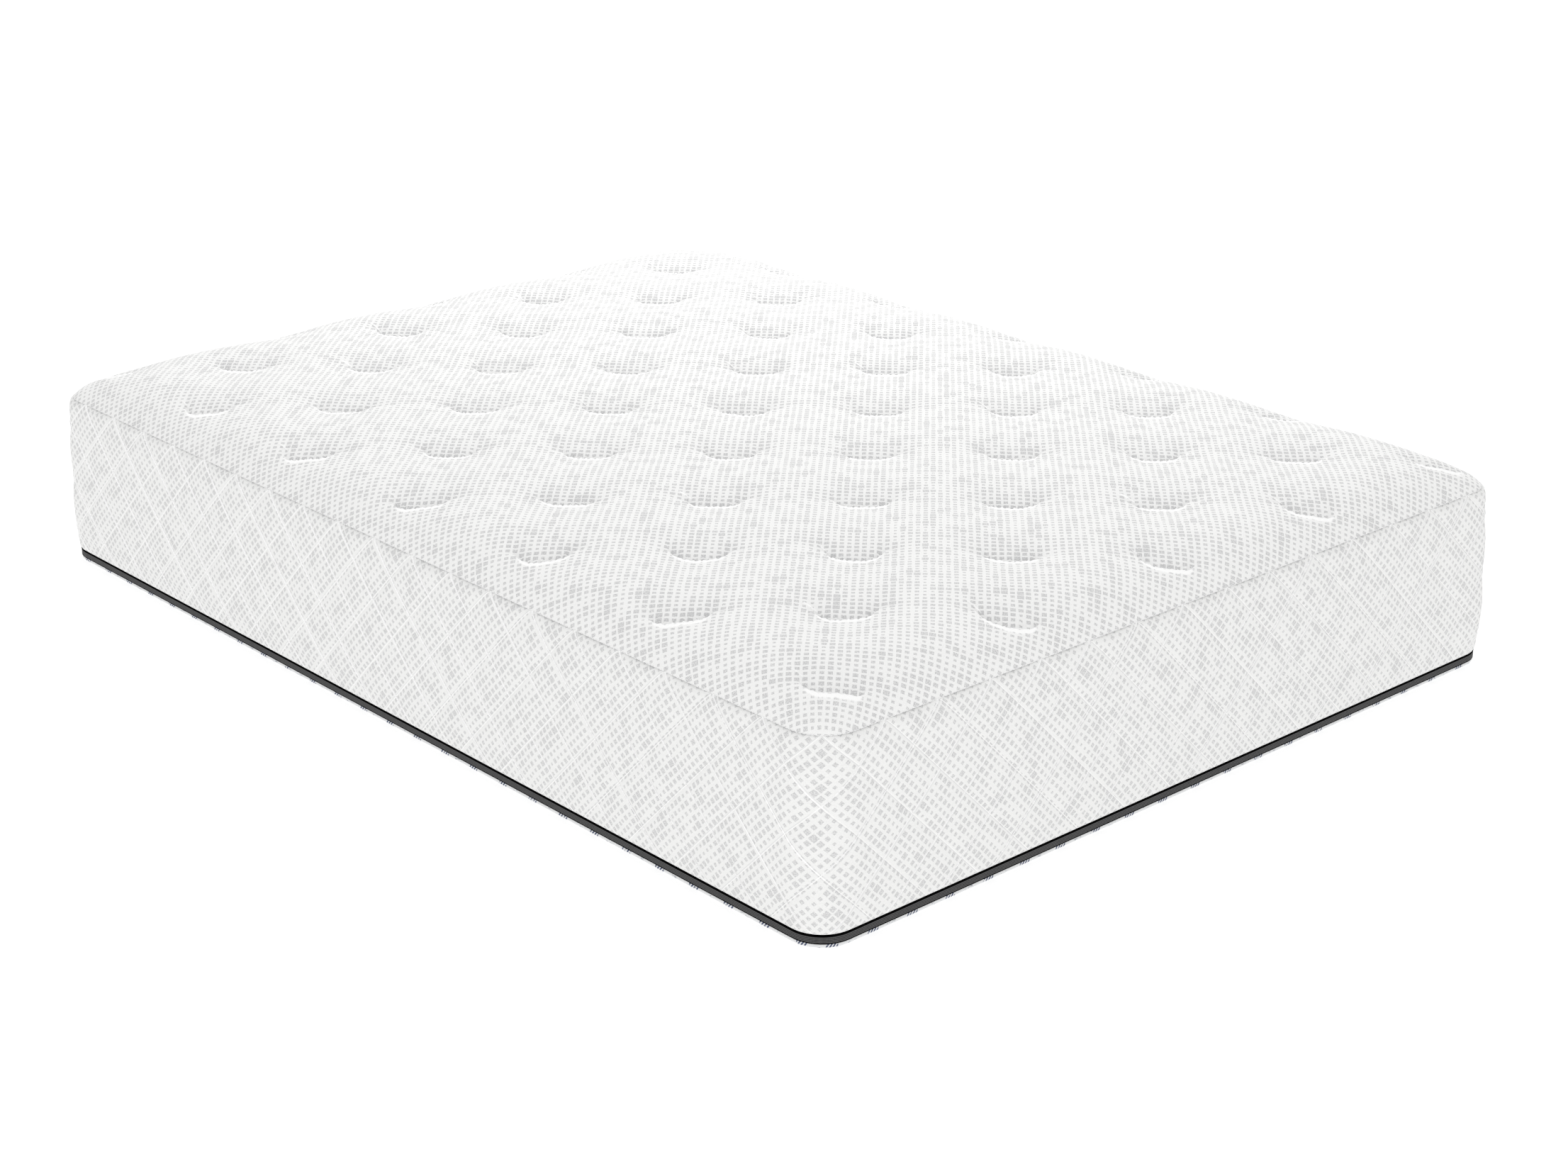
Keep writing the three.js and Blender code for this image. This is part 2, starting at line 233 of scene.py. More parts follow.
def ring_points(profile, share):
    """Rows of points round the mattress, one for each (inset, z) of a profile."""
    return [around(share, inset, z)[0] for inset, z in profile]


def ring_piece(name, node, rows, slot):
    """Closed ring through rows of points: up its outer face and down its inner one."""
    faces = strip_faces(len(rows), len(rows[0]), True)
    return new_piece(name, node, np.concatenate(rows), [faces], slot)


def smoothstep(low, high, value):
    t = np.clip((value - low) / (high - low), 0, 1)
    return t * t * (3 - 2 * t)


def hump(value, centre, width):
    """Smooth hump, 1 at its centre."""
    return np.exp(-((value - centre) / width) ** 2)


def decay(distance, reach):
    """Exponential fall from 1."""
    return np.exp(-distance / reach)


# ---- the crown of the top

def side_distances(x, y):
    """Distances in from the seam's long and short sides."""
    return WIDTH / 2 - SEAM_INSET - np.abs(x), LENGTH / 2 - SEAM_INSET - np.abs(y)


def seam_distance(x, y):
    """Distance in from the seam, eased round the corners further in."""
    dx, dy = side_distances(x, y)
    cx, cy = SEAM_RADIUS - dx, SEAM_RADIUS - dy
    corner = SEAM_RADIUS - np.hypot(cx, cy)
    true = np.where((cx > 0) & (cy > 0), corner, np.minimum(dx, dy))
    a = np.clip(1 - dx / SHOULDER, 0, 1.2)
    b = np.clip(1 - dy / SHOULDER, 0, 1.2)
    eased = SHOULDER * (1 - (a ** CORNER_POWER + b ** CORNER_POWER) ** (1 / CORNER_POWER))
    share = smoothstep(0, EDGE_BLEND, true)
    return true * (1 - share) + eased * share


def rise(distance):
    """0 at the seam, 1 where the shoulder has flattened out."""
    return 1 - (1 - np.clip(distance / SHOULDER, 0, 1)) ** SHOULDER_POWER


def crown(distance):
    """Height of the top, with no tufts, at a distance in from the seam."""
    return SEAM_HEIGHT + (HEIGHT - SEAM_HEIGHT) * rise(distance)


def from_tuft(x, y):
    """The nearest tuft's column and row, whether it is sewn, and the way to a point from it."""
    u, v = x / TUFT_PITCH_X, y / TUFT_PITCH_Y
    even = np.stack([2 * np.round(u / 2), 2 * np.round(v / 2)])
    odd = np.stack([2 * np.round((u - 1) / 2) + 1, 2 * np.round((v - 1) / 2) + 1])

    def gap(tuft):
        return np.hypot((tuft[0] - u) * TUFT_PITCH_X, (tuft[1] - v) * TUFT_PITCH_Y)

    column, row = np.where(gap(even) < gap(odd), even, odd).astype(int)
    sewn = (np.abs(column) <= TUFT_COLUMNS) & (np.abs(row) <= TUFT_ROWS)
    return column, row, sewn, x - column * TUFT_PITCH_X, y - row * TUFT_PITCH_Y


BAR = np.array([TUFT_PITCH_X, -TUFT_PITCH_Y]) / math.hypot(TUFT_PITCH_X, TUFT_PITCH_Y)
ACROSS = np.array([-BAR[1], BAR[0]])


def tuft_moods():
    """Seeded small differences between the tufts."""
    draw = np.random.default_rng(12)
    shape = (2 * TUFT_COLUMNS + 1, 2 * TUFT_ROWS + 1)
    ranges = {"depth": (0.85, 1.15), "bend": (0.65, 1.25), "turn": (-0.07, 0.07),
              "phase": (0, 2 * math.pi), "fold": (0.3, 1.0)}
    return {name: draw.uniform(*ends, shape) for name, ends in ranges.items()}


MOODS = tuft_moods()

# A small fold runs down to one end of each bar; these are along the bar and across it.
FOLD_START = np.array([-64, 56]) * MM
FOLD_REACH = np.array([-36, 22]) * MM - FOLD_START
FOLD_NORMAL = np.array([-FOLD_REACH[1], FOLD_REACH[0]]) / math.hypot(*FOLD_REACH)
FOLD_WIDTH = 1.3 * MM
FOLD_HEIGHT = 1.8 * MM
FOLD_ARCH = 3


def beside_fold(along, across):
    """Share of the way down the fold, and distance to its left."""
    dx, dy = along - FOLD_START[0], across - FOLD_START[1]
    ahead = (dx * FOLD_REACH[0] + dy * FOLD_REACH[1]) / (FOLD_REACH @ FOLD_REACH)
    return ahead, dx * FOLD_NORMAL[0] + dy * FOLD_NORMAL[1]


def fold_share(along, across):
    """Profile of the fold, 0 to 1."""
    ahead, aside = beside_fold(along, across)
    bow = np.sin(math.pi * np.clip(ahead, 0, 1))
    return bow ** 0.7 * hump(aside, FOLD_ARCH * MM * bow, FOLD_WIDTH)


def smile_height(along):
    """How far the bar's line has curved away from its chord."""
    return np.minimum(TUFT_SMILE * np.abs(along / TUFT_HALF) ** 3, 24 * MM)


def bar_frame(x, y):
    """Places along and across the nearest tuft's bar, whether it is sewn, and its moods."""
    column, row, sewn, dx, dy = from_tuft(x, y)
    i = np.clip(column, -TUFT_COLUMNS, TUFT_COLUMNS) + TUFT_COLUMNS
    j = np.clip(row, -TUFT_ROWS, TUFT_ROWS) + TUFT_ROWS
    mood = {name: values[i, j] for name, values in MOODS.items()}
    along = dx * BAR[0] + dy * BAR[1]
    across = dx * ACROSS[0] + dy * ACROSS[1] - along * mood["turn"]
    return along, across, sewn, mood


def tuft_parts(x, y):
    """The nearest tuft's relief, the painted highlight on its crest, and the painted shade on the
    slope behind it.
    """
    along, across, sewn, mood = bar_frame(x, y)
    phase = mood["phase"]
    beat = 2 * math.pi * (along + STRAY * np.sin(along / (9 * MM) + phase)) / PUCKER_PITCH
    wave = np.sin(along / TUFT_HALF * 4 + phase)
    smile = mood["bend"] * smile_height(along)
    off = across - (smile + STRAY * wave + STRAY / 2 * np.sin(0.5 * beat) - 3 * MM)
    past = np.maximum(np.abs(along) - TUFT_HALF, 0)
    away = np.hypot(off, past)
    inside = 1 - smoothstep(TUFT_HALF - 6 * MM, TUFT_HALF + 12 * MM, np.abs(along))
    side = smoothstep(-2 * MM, 2 * MM, off)
    pucker = 0.5 + 0.5 * np.cos(beat + phase)
    rope = 1 + 0.45 * np.cos(beat + phase + 1) + 0.2 * np.sin(1.7 * beat)
    fold = fold_share(along, across) * mood["fold"]

    steep = 0.2 * decay(away, 26 * MM) + 0.8 * decay(away, 2.6 * MM)
    pull = TUFT_PULL * mood["depth"] * (steep * (1 - side) + decay(away, TUFT_REACH) * side)
    gather = PUCKER * (pucker ** 2 - 0.35) * hump(off, 9 * MM, 7 * MM) * inside * side
    crest = ROPE * rope * hump(off, -3.6 * MM, 2.3 * MM) * inside
    notch = MM * decay(np.hypot(off - 1 * MM, np.abs(along) - TUFT_HALF), 3 * MM)
    relief = pull + gather - crest + notch - FOLD_HEIGHT * fold

    from_rim = np.clip(seam_distance(x, y) / (110 * MM), 0, 1)
    # Painted highlight: the crest in front of the bar and the small fold are whitened where light
    # catches them.
    edge = 1.3 * hump(off, -7 * MM, (5 + 2.4 * rope) * MM) * inside
    painted_crest_highlight = np.maximum(np.clip(edge, 0, 1), fold) * (0.55 + 0.45 * from_rim)
    # Painted shade: the slope behind the bar and the creases between its pleats are darkened in the
    # cloth's colour.
    slope = np.exp(-np.hypot((off - 2 * MM) / (42 * MM), past / (17 * MM)))
    pleats = decay(np.maximum(off - 10 * MM, 0), 4.5 * MM) * (1 - pucker) ** 2.5 * inside
    shade = (0.8 * slope + 0.45 * pleats) * side * from_rim
    return [np.where(sewn, part, 0) for part in (relief, painted_crest_highlight, shade)]


def pillow_dip(x, y):
    """How far the top lies below its pillows, apart from the tufts' own relief."""
    wave = np.cos(math.pi * x / TUFT_PITCH_X) * np.cos(math.pi * y / TUFT_PITCH_Y)
    return PILLOW_DIP * ((1 + wave) / 2) ** 1.4


def top_height(x, y):
    """Top face of the ticking."""
    distance = seam_distance(x, y)
    fade = np.clip(distance / TUFT_FADE, 0, 1)
    roll = 0.3 * MM * decay(np.maximum(distance, 0), 1.6 * MM)
    drape = 1.2 * MM * np.sin(5.1 * x + 2.0 * np.sin(3.7 * y)) * np.sin(4.3 * y + 1.3)
    slack = drape * smoothstep(0, SHOULDER, distance)
    drawn = pillow_dip(x, y) + tuft_parts(x, y)[0]
    return crown(distance) - fade * drawn - roll + slack - 1.2 * MM * fade


def under_height(x, y, depth):
    """A smooth face beneath the ticking that clears its tufts by a depth."""
    _, _, sewn, dx, dy = from_tuft(x, y)
    pit = 16 * MM * hump(np.hypot(dx, dy), 0, 62 * MM) * sewn
    distance = seam_distance(x, y)
    fade = np.clip(distance / TUFT_FADE, 0, 1)
    return crown(distance) - (pillow_dip(x, y) + pit + 2.5 * MM) * fade - depth


# ---- plan triangulation

def clear_of_rim(points, inset):
    """The points that lie further in from the seam than an inset."""
    return points[seam_distance(points[:, 0], points[:, 1]) > inset]


def plan_grid(half_x, half_y, columns, rows):
    """Points of a rectangular grid about the middle."""
    xs, ys = np.meshgrid(np.linspace(-half_x, half_x, columns), np.linspace(-half_y, half_y, rows))
    return np.column_stack([xs.ravel(), ys.ravel()])


def tuft_centres():
    return [(i * TUFT_PITCH_X, j * TUFT_PITCH_Y)
            for j in range(-TUFT_ROWS, TUFT_ROWS + 1)
            for i in range(-TUFT_COLUMNS, TUFT_COLUMNS + 1) if (i + j) % 2 == 0]


def signed_steps(steps):
    """Offsets in metres either side of nought, from the millimetres between them."""
    ends = np.cumsum(np.array(steps) * MM)
    return np.concatenate([-ends[::-1], [0], ends])


def fine_patch():
    """Plan points round one tuft, closest together across its bar and its fold."""
    along = signed_steps([2.3] * 22 + [5, 8])
    across = signed_steps([1.25] * 6 + [1.8, 2, 2.4, 3.2, 4.5, 6, 7.5])
    p, q = (grid.ravel() for grid in np.meshgrid(along, across))
    q = q + smile_height(p)
    part, aside = (grid.ravel() for grid in np.meshgrid(
        np.linspace(0, 1, 13), (-2.6, -1.3, 0, 1.3, 2.6)))
    aside = aside + FOLD_ARCH * np.sin(math.pi * part)
    fold = FOLD_START + np.outer(part, FOLD_REACH) + np.outer(aside * MM, FOLD_NORMAL)
    ahead, beside = beside_fold(p, q)
    near_fold = (np.abs(ahead - 0.5) < 0.56) & (np.abs(beside - 1.5 * MM) < 5.5 * MM)
    p = np.append(p[~near_fold], fold[:, 0])
    q = np.append(q[~near_fold], fold[:, 1])
    return np.outer(p, BAR) + np.outer(q, ACROSS)


def top_plan_points():
    """Plan points of the top: fine round the tufts, coarser on the pillows between."""
    patch = fine_patch()
    fine = np.concatenate([patch + centre for centre in tuft_centres()])
    coarse = plan_grid(WIDTH / 2, LENGTH / 2, 150, 200)
    _, _, sewn, dx, dy = from_tuft(*coarse.T)
    beside = np.abs(dx * BAR[0] + dy * BAR[1]) > 69 * MM
    beyond = np.abs(dx * ACROSS[0] + dy * ACROSS[1]) > 40 * MM
    return np.concatenate([fine, coarse[beside | beyond | ~sewn]])


def triangulated(rim, inner):
    """Counterclockwise triangles of the plan inside a rim; the rim's points come first."""
    edges = np.column_stack(loop(len(rim))).tolist()
    points = [Vector(point) for point in np.concatenate([rim, inner]).tolist()]
    result = delaunay_2d_cdt(points, edges, [], 1, 1e-7)
    corners = np.array([point[:] for point in result[0]])
    faces = np.array([face for face in result[2] if len(face) == 3])
    a, b, c = (corners[faces[:, k]] for k in range(3))
    area = (b[:, 0] - a[:, 0]) * (c[:, 1] - a[:, 1]) - (b[:, 1] - a[:, 1]) * (c[:, 0] - a[:, 0])
    faces[area < 0] = faces[area < 0][:, ::-1]
    return corners, faces


def rim_rows(share, insets):
    """Plan points round the seam at distances in from it."""
    return [outline(share, SEAM_INSET + inset, max(SEAM_RADIUS - inset, LEAST_RADIUS))[0]
            for inset in insets]


def shoulder_stretch(distance):
    """Extra cloth length over plan length between a point and the flat middle."""
    steps = np.linspace(0, SHOULDER, 200)
    slope = (HEIGHT - SEAM_HEIGHT) * SHOULDER_POWER / SHOULDER
    slope = slope * (1 - steps / SHOULDER) ** (SHOULDER_POWER - 1)
    extra = np.cumsum(np.hypot(1, slope) - 1) * (steps[1] - steps[0])
    return extra[-1] - np.interp(distance, steps, extra)


def top_weave(x, y):
    """Cloth coordinates of the top, laid out flat."""
    return np.column_stack([at + np.sign(at) * shoulder_stretch(distance)
                            for at, distance in zip((x, y), side_distances(x, y))])


# ---- the top ticking

def make_top_ticking():
    """Quilted top: its tufted face, its edge turned under at the seam, and its back."""
    share = shares(RIM_COLUMNS)
    rows = rim_rows(share, np.array([0, 0.8, 2, 4, 7, 11, 16, 22]) * MM)
    inner = clear_of_rim(top_plan_points(), 27 * MM)
    plan, faces = triangulated(rows[0], np.concatenate(rows[1:] + [inner]))
    x, y = plan.T
    top = np.column_stack([x, y, top_height(x, y)])
    edge = ring_points([(SEAM_INSET + 0.3 * MM, SEAM_HEIGHT - 0.8 * MM),
                        (SEAM_INSET + 3.4 * MM, SEAM_HEIGHT - 1.1 * MM)], share)
    coarse = clear_of_rim(plan_grid(0.74, 1, 70, 92), 9 * MM)
    back_plan, back_faces = triangulated(rim_rows(share, [4 * MM])[0], coarse)
    back = np.column_stack([back_plan, under_height(*back_plan.T, TICKING)])
    points = np.concatenate([top, *edge, back])
    starts = [0] + [len(top) + k * RIM_COLUMNS for k in range(3)]
    rims = [start + np.arange(RIM_COLUMNS) for start in starts]
    sides = [band_faces(low, high) for low, high in zip(rims, rims[1:])]
    groups = [faces, *sides, back_faces[:, ::-1] + starts[-1]]
    corners = np.concatenate([group.ravel() for group in groups])
    weave = top_weave(*points[:, :2].T)
    piece = new_piece("quilted_top", "top_ticking", points, groups, "knit_ticking", weave[corners])
    # The attributes carry the crest's painted highlight (crest) and the slope's painted shade (pit)
    # to the knit.
    for name, values in zip(("crest", "pit"), tuft_parts(x, y)[1:]):
        everywhere = np.zeros(len(points), dtype=np.float32)
        everywhere[:len(top)] = values
        piece.data.attributes.new(name, "FLOAT", "POINT").data.foreach_set("value", everywhere)


# ---- the quilted border

HEM_START = 262 * MM  # down the border's face
FOOT_Z = BAND_TOP + 3.2 * MM
FOOT_INSET = 6.9 * MM
BULGE = 9.09 * MM
BULGE_POWER = 3
BEHIND_BINDING = BINDING_BACK + 0.3 * MM
BORDER_TOP = SEAM_HEIGHT - 0.5 * MM
BORDER_TOP_INSET = SEAM_INSET - 0.3 * MM
WIDENING = (-0.8, 0.4)  # along y: the lines and threads facing -x widen between these


def border_profile():
    """Outer face of the border from the seam down: rows of inset and height."""
    share = (1 - np.cos(np.linspace(0, math.pi, 60))) / 2
    fullness = (1 - np.abs(2 * share - 1) ** BULGE_POWER) ** (1 / BULGE_POWER)
    inset = FOOT_INSET + (BORDER_TOP_INSET - FOOT_INSET) * share - BULGE * fullness
    z = FOOT_Z + (BORDER_TOP - FOOT_Z) * share
    face = np.column_stack([inset, z])[::-1]
    behind = np.array([(BEHIND_BINDING, BAND_TOP + 0.3 * MM), (BEHIND_BINDING, 5.3 * MM)])
    return np.concatenate([face, behind])


PROFILE = border_profile()
PROFILE_LENGTH = np.append(0, np.cumsum(np.hypot(*np.diff(PROFILE, axis=0).T)))
FOOT = float(PROFILE_LENGTH[-3])  # distance down the face to its foot


def profile_at(depth):
    """Inset and height at a distance down the border's face."""
    return [np.interp(depth, PROFILE_LENGTH, values) for values in PROFILE.T]


def border_surface(u, v, outwards):
    """Points of the border at a distance round it and down its face, moved outwards."""
    points, facing = around(u / PERIMETER, *profile_at(v))
    return points + facing * np.reshape(outwards, (-1, 1))


def line_distance(value):
    """Distance across the cloth to the nearest quilting line of one family."""
    return np.abs(value - QUILT_PERIOD * np.round(value / QUILT_PERIOD)) / math.sqrt(2)


def border_relief(u, v):
    """How far the quilting lifts the border's face: a puff between the lines, a groove at them."""
    one, other = line_distance(u + v), line_distance(u - v)
    half = QUILT_PERIOD / math.sqrt(2) / 2
    puff = 3.0 * MM * (1 - (1 - np.clip(np.minimum(one, other) / half, 0, 1)) ** 2.6)
    groove = 0.6 * MM * (decay(one, 2.2 * MM) + decay(other, 2.2 * MM))
    slack = 0.8 * MM * np.sin(9.0 * u + 2 * np.sin(11 * v)) * np.sin(14 * v + 3 * np.sin(4 * u))
    edge = smoothstep(0, 12 * MM, v)
    foot = 1 - smoothstep(HEM_START - 8 * MM, HEM_START + 4 * MM, v)
    return (puff - groove + slack) * edge * foot - 0.2 * MM * (1 - smoothstep(0, 3 * MM, v))


def quilt_steps():
    """Positions within one quilting period, closest together beside the stitched lines."""
    across = np.array([0, 0.9, 2.0, 4.2, 8.5, 15.5, 25]) * MM * math.sqrt(2)
    return np.concatenate([across, [QUILT_PERIOD / 2], QUILT_PERIOD - across[:0:-1]])


def make_border_ticking():
    """Quilted face of the border on a grid that follows its diamonds, and its plain back."""
    steps = quilt_steps()
    per = len(steps)
    columns, rows = QUILT_PERIODS * per, 2 * QUILT_ROWS * per + 1
    column = np.arange(columns)
    at = np.arange(columns * rows).reshape(rows, columns)

    def along(index):
        return steps[np.mod(index, per)] + QUILT_PERIOD * np.floor_divide(index, per)

    def cloth(place, row):
        s, t = along(place), along(place - row)
        return (s + t) / 2, (s - t) / 2

    def corner_uv(row, shift):
        u, v = cloth(column + shift, row)
        return np.column_stack([u, -v])

    def faces_and_uvs(plans):
        faces = [np.column_stack([at[row][(column + shift) % columns] for row, shift in plan])
                 for plan in plans]
        uvs = [np.stack([corner_uv(*corner) for corner in plan], axis=1) for plan in plans]
        return np.concatenate(faces), np.concatenate(uvs).reshape(-1, 2)

    u, v = cloth(*(grid.ravel() for grid in np.meshgrid(column, np.arange(rows))))
    tuck = 2.6 * MM * smoothstep(HEM_START + 6 * MM, HEM_START + 14 * MM, v)
    outer = border_surface(u, v, border_relief(u, v) - tuck)
    quads, quad_uvs = faces_and_uvs(
        [[(row, 0), (row - 1, 0), (row, 1), (row + 1, 1)] for row in range(1, rows - 1)])
    triangles, triangle_uvs = faces_and_uvs(
        [[(0, 0), (0, 1), (1, 1)], [(rows - 1, 0), (rows - 2, 0), (rows - 1, 1)]])

    top_u, bottom_u = cloth(column, 0)[0], cloth(column, rows - 1)[0]
    levels = np.linspace(0.02, 0.98, 9)
    back = [border_surface(top_u * (1 - level) + bottom_u * level, level * PROFILE_LENGTH[-1],
                           -4.2 * MM) for level in levels]
    chain = [at[0], *(at.size + k * columns + column for k in range(len(levels))), at[-1]]
    sides = np.concatenate([band_faces(low, high) for low, high in zip(chain, chain[1:])])
    groups = [quads, sides, triangles]
    uvs = np.concatenate([quad_uvs, np.zeros((sides.size, 2)), triangle_uvs])
    piece = new_piece("quilted_border", "border_ticking", np.concatenate([outer, *back]),
                      groups, "knit_ticking", uvs, "quilted_ticking")


def make_border_hem():
    """Lowest strip of the border, which tucks in behind the piping."""
    share = shares(HEM_COLUMNS)
    down = np.concatenate([np.linspace(HEM_START, FOOT - 12 * MM, 6),
                           np.linspace(FOOT - 10 * MM, FOOT, 22), PROFILE_LENGTH[-2:]])
    outer, inner = [], []
    for v in down:
        lift = 1.15 * MM * smoothstep(HEM_START, HEM_START + 6 * MM, v) - 1.0 * MM
        outer.append(border_surface(share * PERIMETER, v, lift))
        inset, z = profile_at(v)
        back = inset + 2.2 * MM if z > BINDING_TOP + 2 * MM else BEHIND_BINDING + 0.6 * MM
        inner.append(around(share, max(back, inset + 0.6 * MM), z)[0])
    rows = outer[::-1] + inner
    faces = strip_faces(len(rows), HEM_COLUMNS, True)
    row, place = faces // HEM_COLUMNS, faces % HEM_COLUMNS
    place = np.where((place == 0) & (place[:, 1:2] == 0), HEM_COLUMNS, place)
    depth = np.concatenate([down[::-1], down])[row]
    uvs = np.stack([place / HEM_COLUMNS * PERIMETER, -depth], axis=-1).reshape(-1, 2)
    piece = new_piece("border_hem", "border_ticking", np.concatenate(rows), [faces],
                      "knit_ticking", uvs, "quilted_ticking")


# ---- stitches

def spindles(centres, along, outwards, length, radius):
    """One short closed stitch at each centre, fattest in the middle: points and faces."""
    side = np.cross(along, outwards)
    radius = np.reshape(radius, (-1, 1))
    sides = 5
    rings = []
    for share in (-0.32, 0.32):
        for angle in shares(sides) * 2 * math.pi:
            lift = outwards * math.cos(angle) + side * math.sin(angle)
            rings.append(centres + along * length * share + lift * radius * 0.8)
    tips = [centres + along * end - outwards * radius * 0.6 for end in (-length / 2, length / 2)]
    points = np.stack(rings + tips, axis=1)
    triangles, quads = [], []
    for k, n in zip(*loop(sides)):
        triangles += [(2 * sides, k, n), (2 * sides + 1, sides + n, sides + k)]
        quads.append((k, sides + k, sides + n, n))
    base = (np.arange(len(centres)) * points.shape[1])[:, None, None]
    return (points.reshape(-1, 3), (np.array(triangles) + base).reshape(-1, 3),
            (np.array(quads) + base).reshape(-1, 4))


def unit(vectors):
    return vectors / np.linalg.norm(vectors, axis=1, keepdims=True)


def make_border_stitches():
    """Stitches along both families of quilting lines, in two pieces."""
    depth = QUILT_PERIOD * QUILT_ROWS - 18 * MM
    count = int(depth * math.sqrt(2) / STITCH)
    down = (np.arange(count) + 0.5) / count * depth + 1.5 * MM
    for name, lean in (("border_stitches_rising", 1), ("border_stitches_falling", -1)):
        line, v = (g.ravel() for g in np.meshgrid(np.arange(QUILT_PERIODS) * QUILT_PERIOD, down))
        u = line + lean * v
        _, facing = around(u / PERIMETER, 0, 0)
        proud = (np.abs(facing[:, 0]) > np.abs(facing[:, 1])) == (lean > 0)
        lift = border_relief(u, v) + np.where(proud, 0.55, -0.1) * MM
        at = border_surface(u, v, lift)
        along = unit(border_surface(u + lean * MM, v + MM, lift) - at)
        outwards = unit(facing - along * np.sum(facing * along, axis=1, keepdims=True))
        # The thread is drawn thicker towards the far end of the side that faces -x.
        girth = 1 + 0.9 * smoothstep(*WIDENING, at[:, 1]) * (facing[:, 0] < -0.5)
        radius = np.where(proud, 0.7, 0.45) * girth * MM
        points, *faces = spindles(at, along, outwards, 6.1 * MM, radius)
        new_piece(name, "border_ticking", points, faces, "thread")


def make_seam_stitches():
    """Lockstitches along the top seam."""
    count = round(PERIMETER / STITCH)
    at, outwards = around(shares(count), BORDER_TOP_INSET, BORDER_TOP)
    ahead, _ = around(shares(count) + 0.2 / count, BORDER_TOP_INSET, BORDER_TOP)
    points, *faces = spindles(at, unit(ahead - at), outwards, 6.4 * MM, 0.7 * MM)
    new_piece("top_seam_stitches", "top_seam_thread", points, faces, "thread")


def make_tuft_stitches():
    """The stitches that hold each tuft's bar down."""
    centres = np.array(tuft_centres())
    offsets = (np.arange(6) - 2.5) * PUCKER_PITCH
    plan = np.concatenate([centres + BAR * offset + ACROSS * 1.5 * MM for offset in offsets])
    at = np.column_stack([plan, top_height(*plan.T) + 0.2 * MM])
    along = np.tile(np.append(BAR, 0), (len(at), 1))
    outwards = np.tile((0.0, 0.0, 1.0), (len(at), 1))
    points, *faces = spindles(at, along, outwards, 6.5 * MM, 0.55 * MM)
    new_piece("tuft_stitches", "top_seam_thread", points, faces, "thread")


# ---- the binding

BAND_RIBS = 4
RIB = ((0, 0.9), (0.24, 0.2), (0.5, 0), (0.76, 0.2))  # share of a rib's height, depth in mm


def make_band():
    """Ribbed tape."""
    height = BAND_TOP - BAND_BOTTOM
    profile = [(BINDING_INSET + depth * MM, BAND_BOTTOM + height * (k + share) / BAND_RIBS)
               for k in range(BAND_RIBS) for share, depth in RIB]
    profile += [(BINDING_INSET + 0.8 * MM, BAND_TOP), (BINDING_BACK, BAND_TOP),
                (BINDING_BACK, BAND_BOTTOM)]
    rows = ring_points(profile, shares(BINDING_COLUMNS))
    ring_piece("binding_band", "binding_tape", rows, "charcoal_tape")


def make_piping():
    """Rounded black edge above the tape, whose top wanders slightly."""
    share = shares(BINDING_COLUMNS)
    turns = 2 * math.pi * share
    wander = 0.12 * MM * np.sin(31 * turns) * np.sin(7 * turns + 1)
    bottom, top = BAND_TOP + 0.1 * MM, BINDING_TOP - 0.2 * MM
    middle, half = (bottom + top) / 2, (top - bottom) / 2
    back = FOOT_INSET - 0.3 * MM
    profile = [(back, bottom), (BINDING_INSET + 0.5 * MM, bottom)]
    for turn in np.radians(np.linspace(-70, 80, 9)):
        inset = BINDING_INSET + 2.1 * MM - 2.4 * MM * math.cos(turn)
        profile.append((inset, middle + half * math.sin(turn)))
    profile.append((back, top - 0.2 * MM))
    rows = ring_points(profile, share)
    for points, (_, z) in zip(rows, profile):
        points[:, 2] += wander * (z - bottom) / (top - bottom)
    ring_piece("binding_piped_edge", "binding_piping", rows, "black_edge")


def make_lower_edge():
    """Thin black edge below the tape."""
    face, high = BINDING_INSET + 0.1 * MM, BAND_BOTTOM - 0.1 * MM
    profile = [(BINDING_BACK, LEDGE), (face + 0.5 * MM, LEDGE), (face, LEDGE + 0.5 * MM),
               (face, high - 0.5 * MM), (face + 0.4 * MM, high), (BINDING_BACK, high)]
    rows = ring_points(profile, shares(BINDING_COLUMNS))
    ring_piece("binding_bottom_edge", "binding_lower_edge", rows, "black_edge")


# ---- bottom panel and core

def capped_faces(rows):
    """Faces of rows of points whose first and last close on the two points that follow."""
    count = len(rows[0])
    end = len(rows) * count
    k, after = loop(count)
    bottom = np.column_stack([np.full(count, end), after, k])
    top = np.column_stack([np.full(count, end + 1), end - count + k, end - count + after])
    return [strip_faces(len(rows), count), bottom, top]


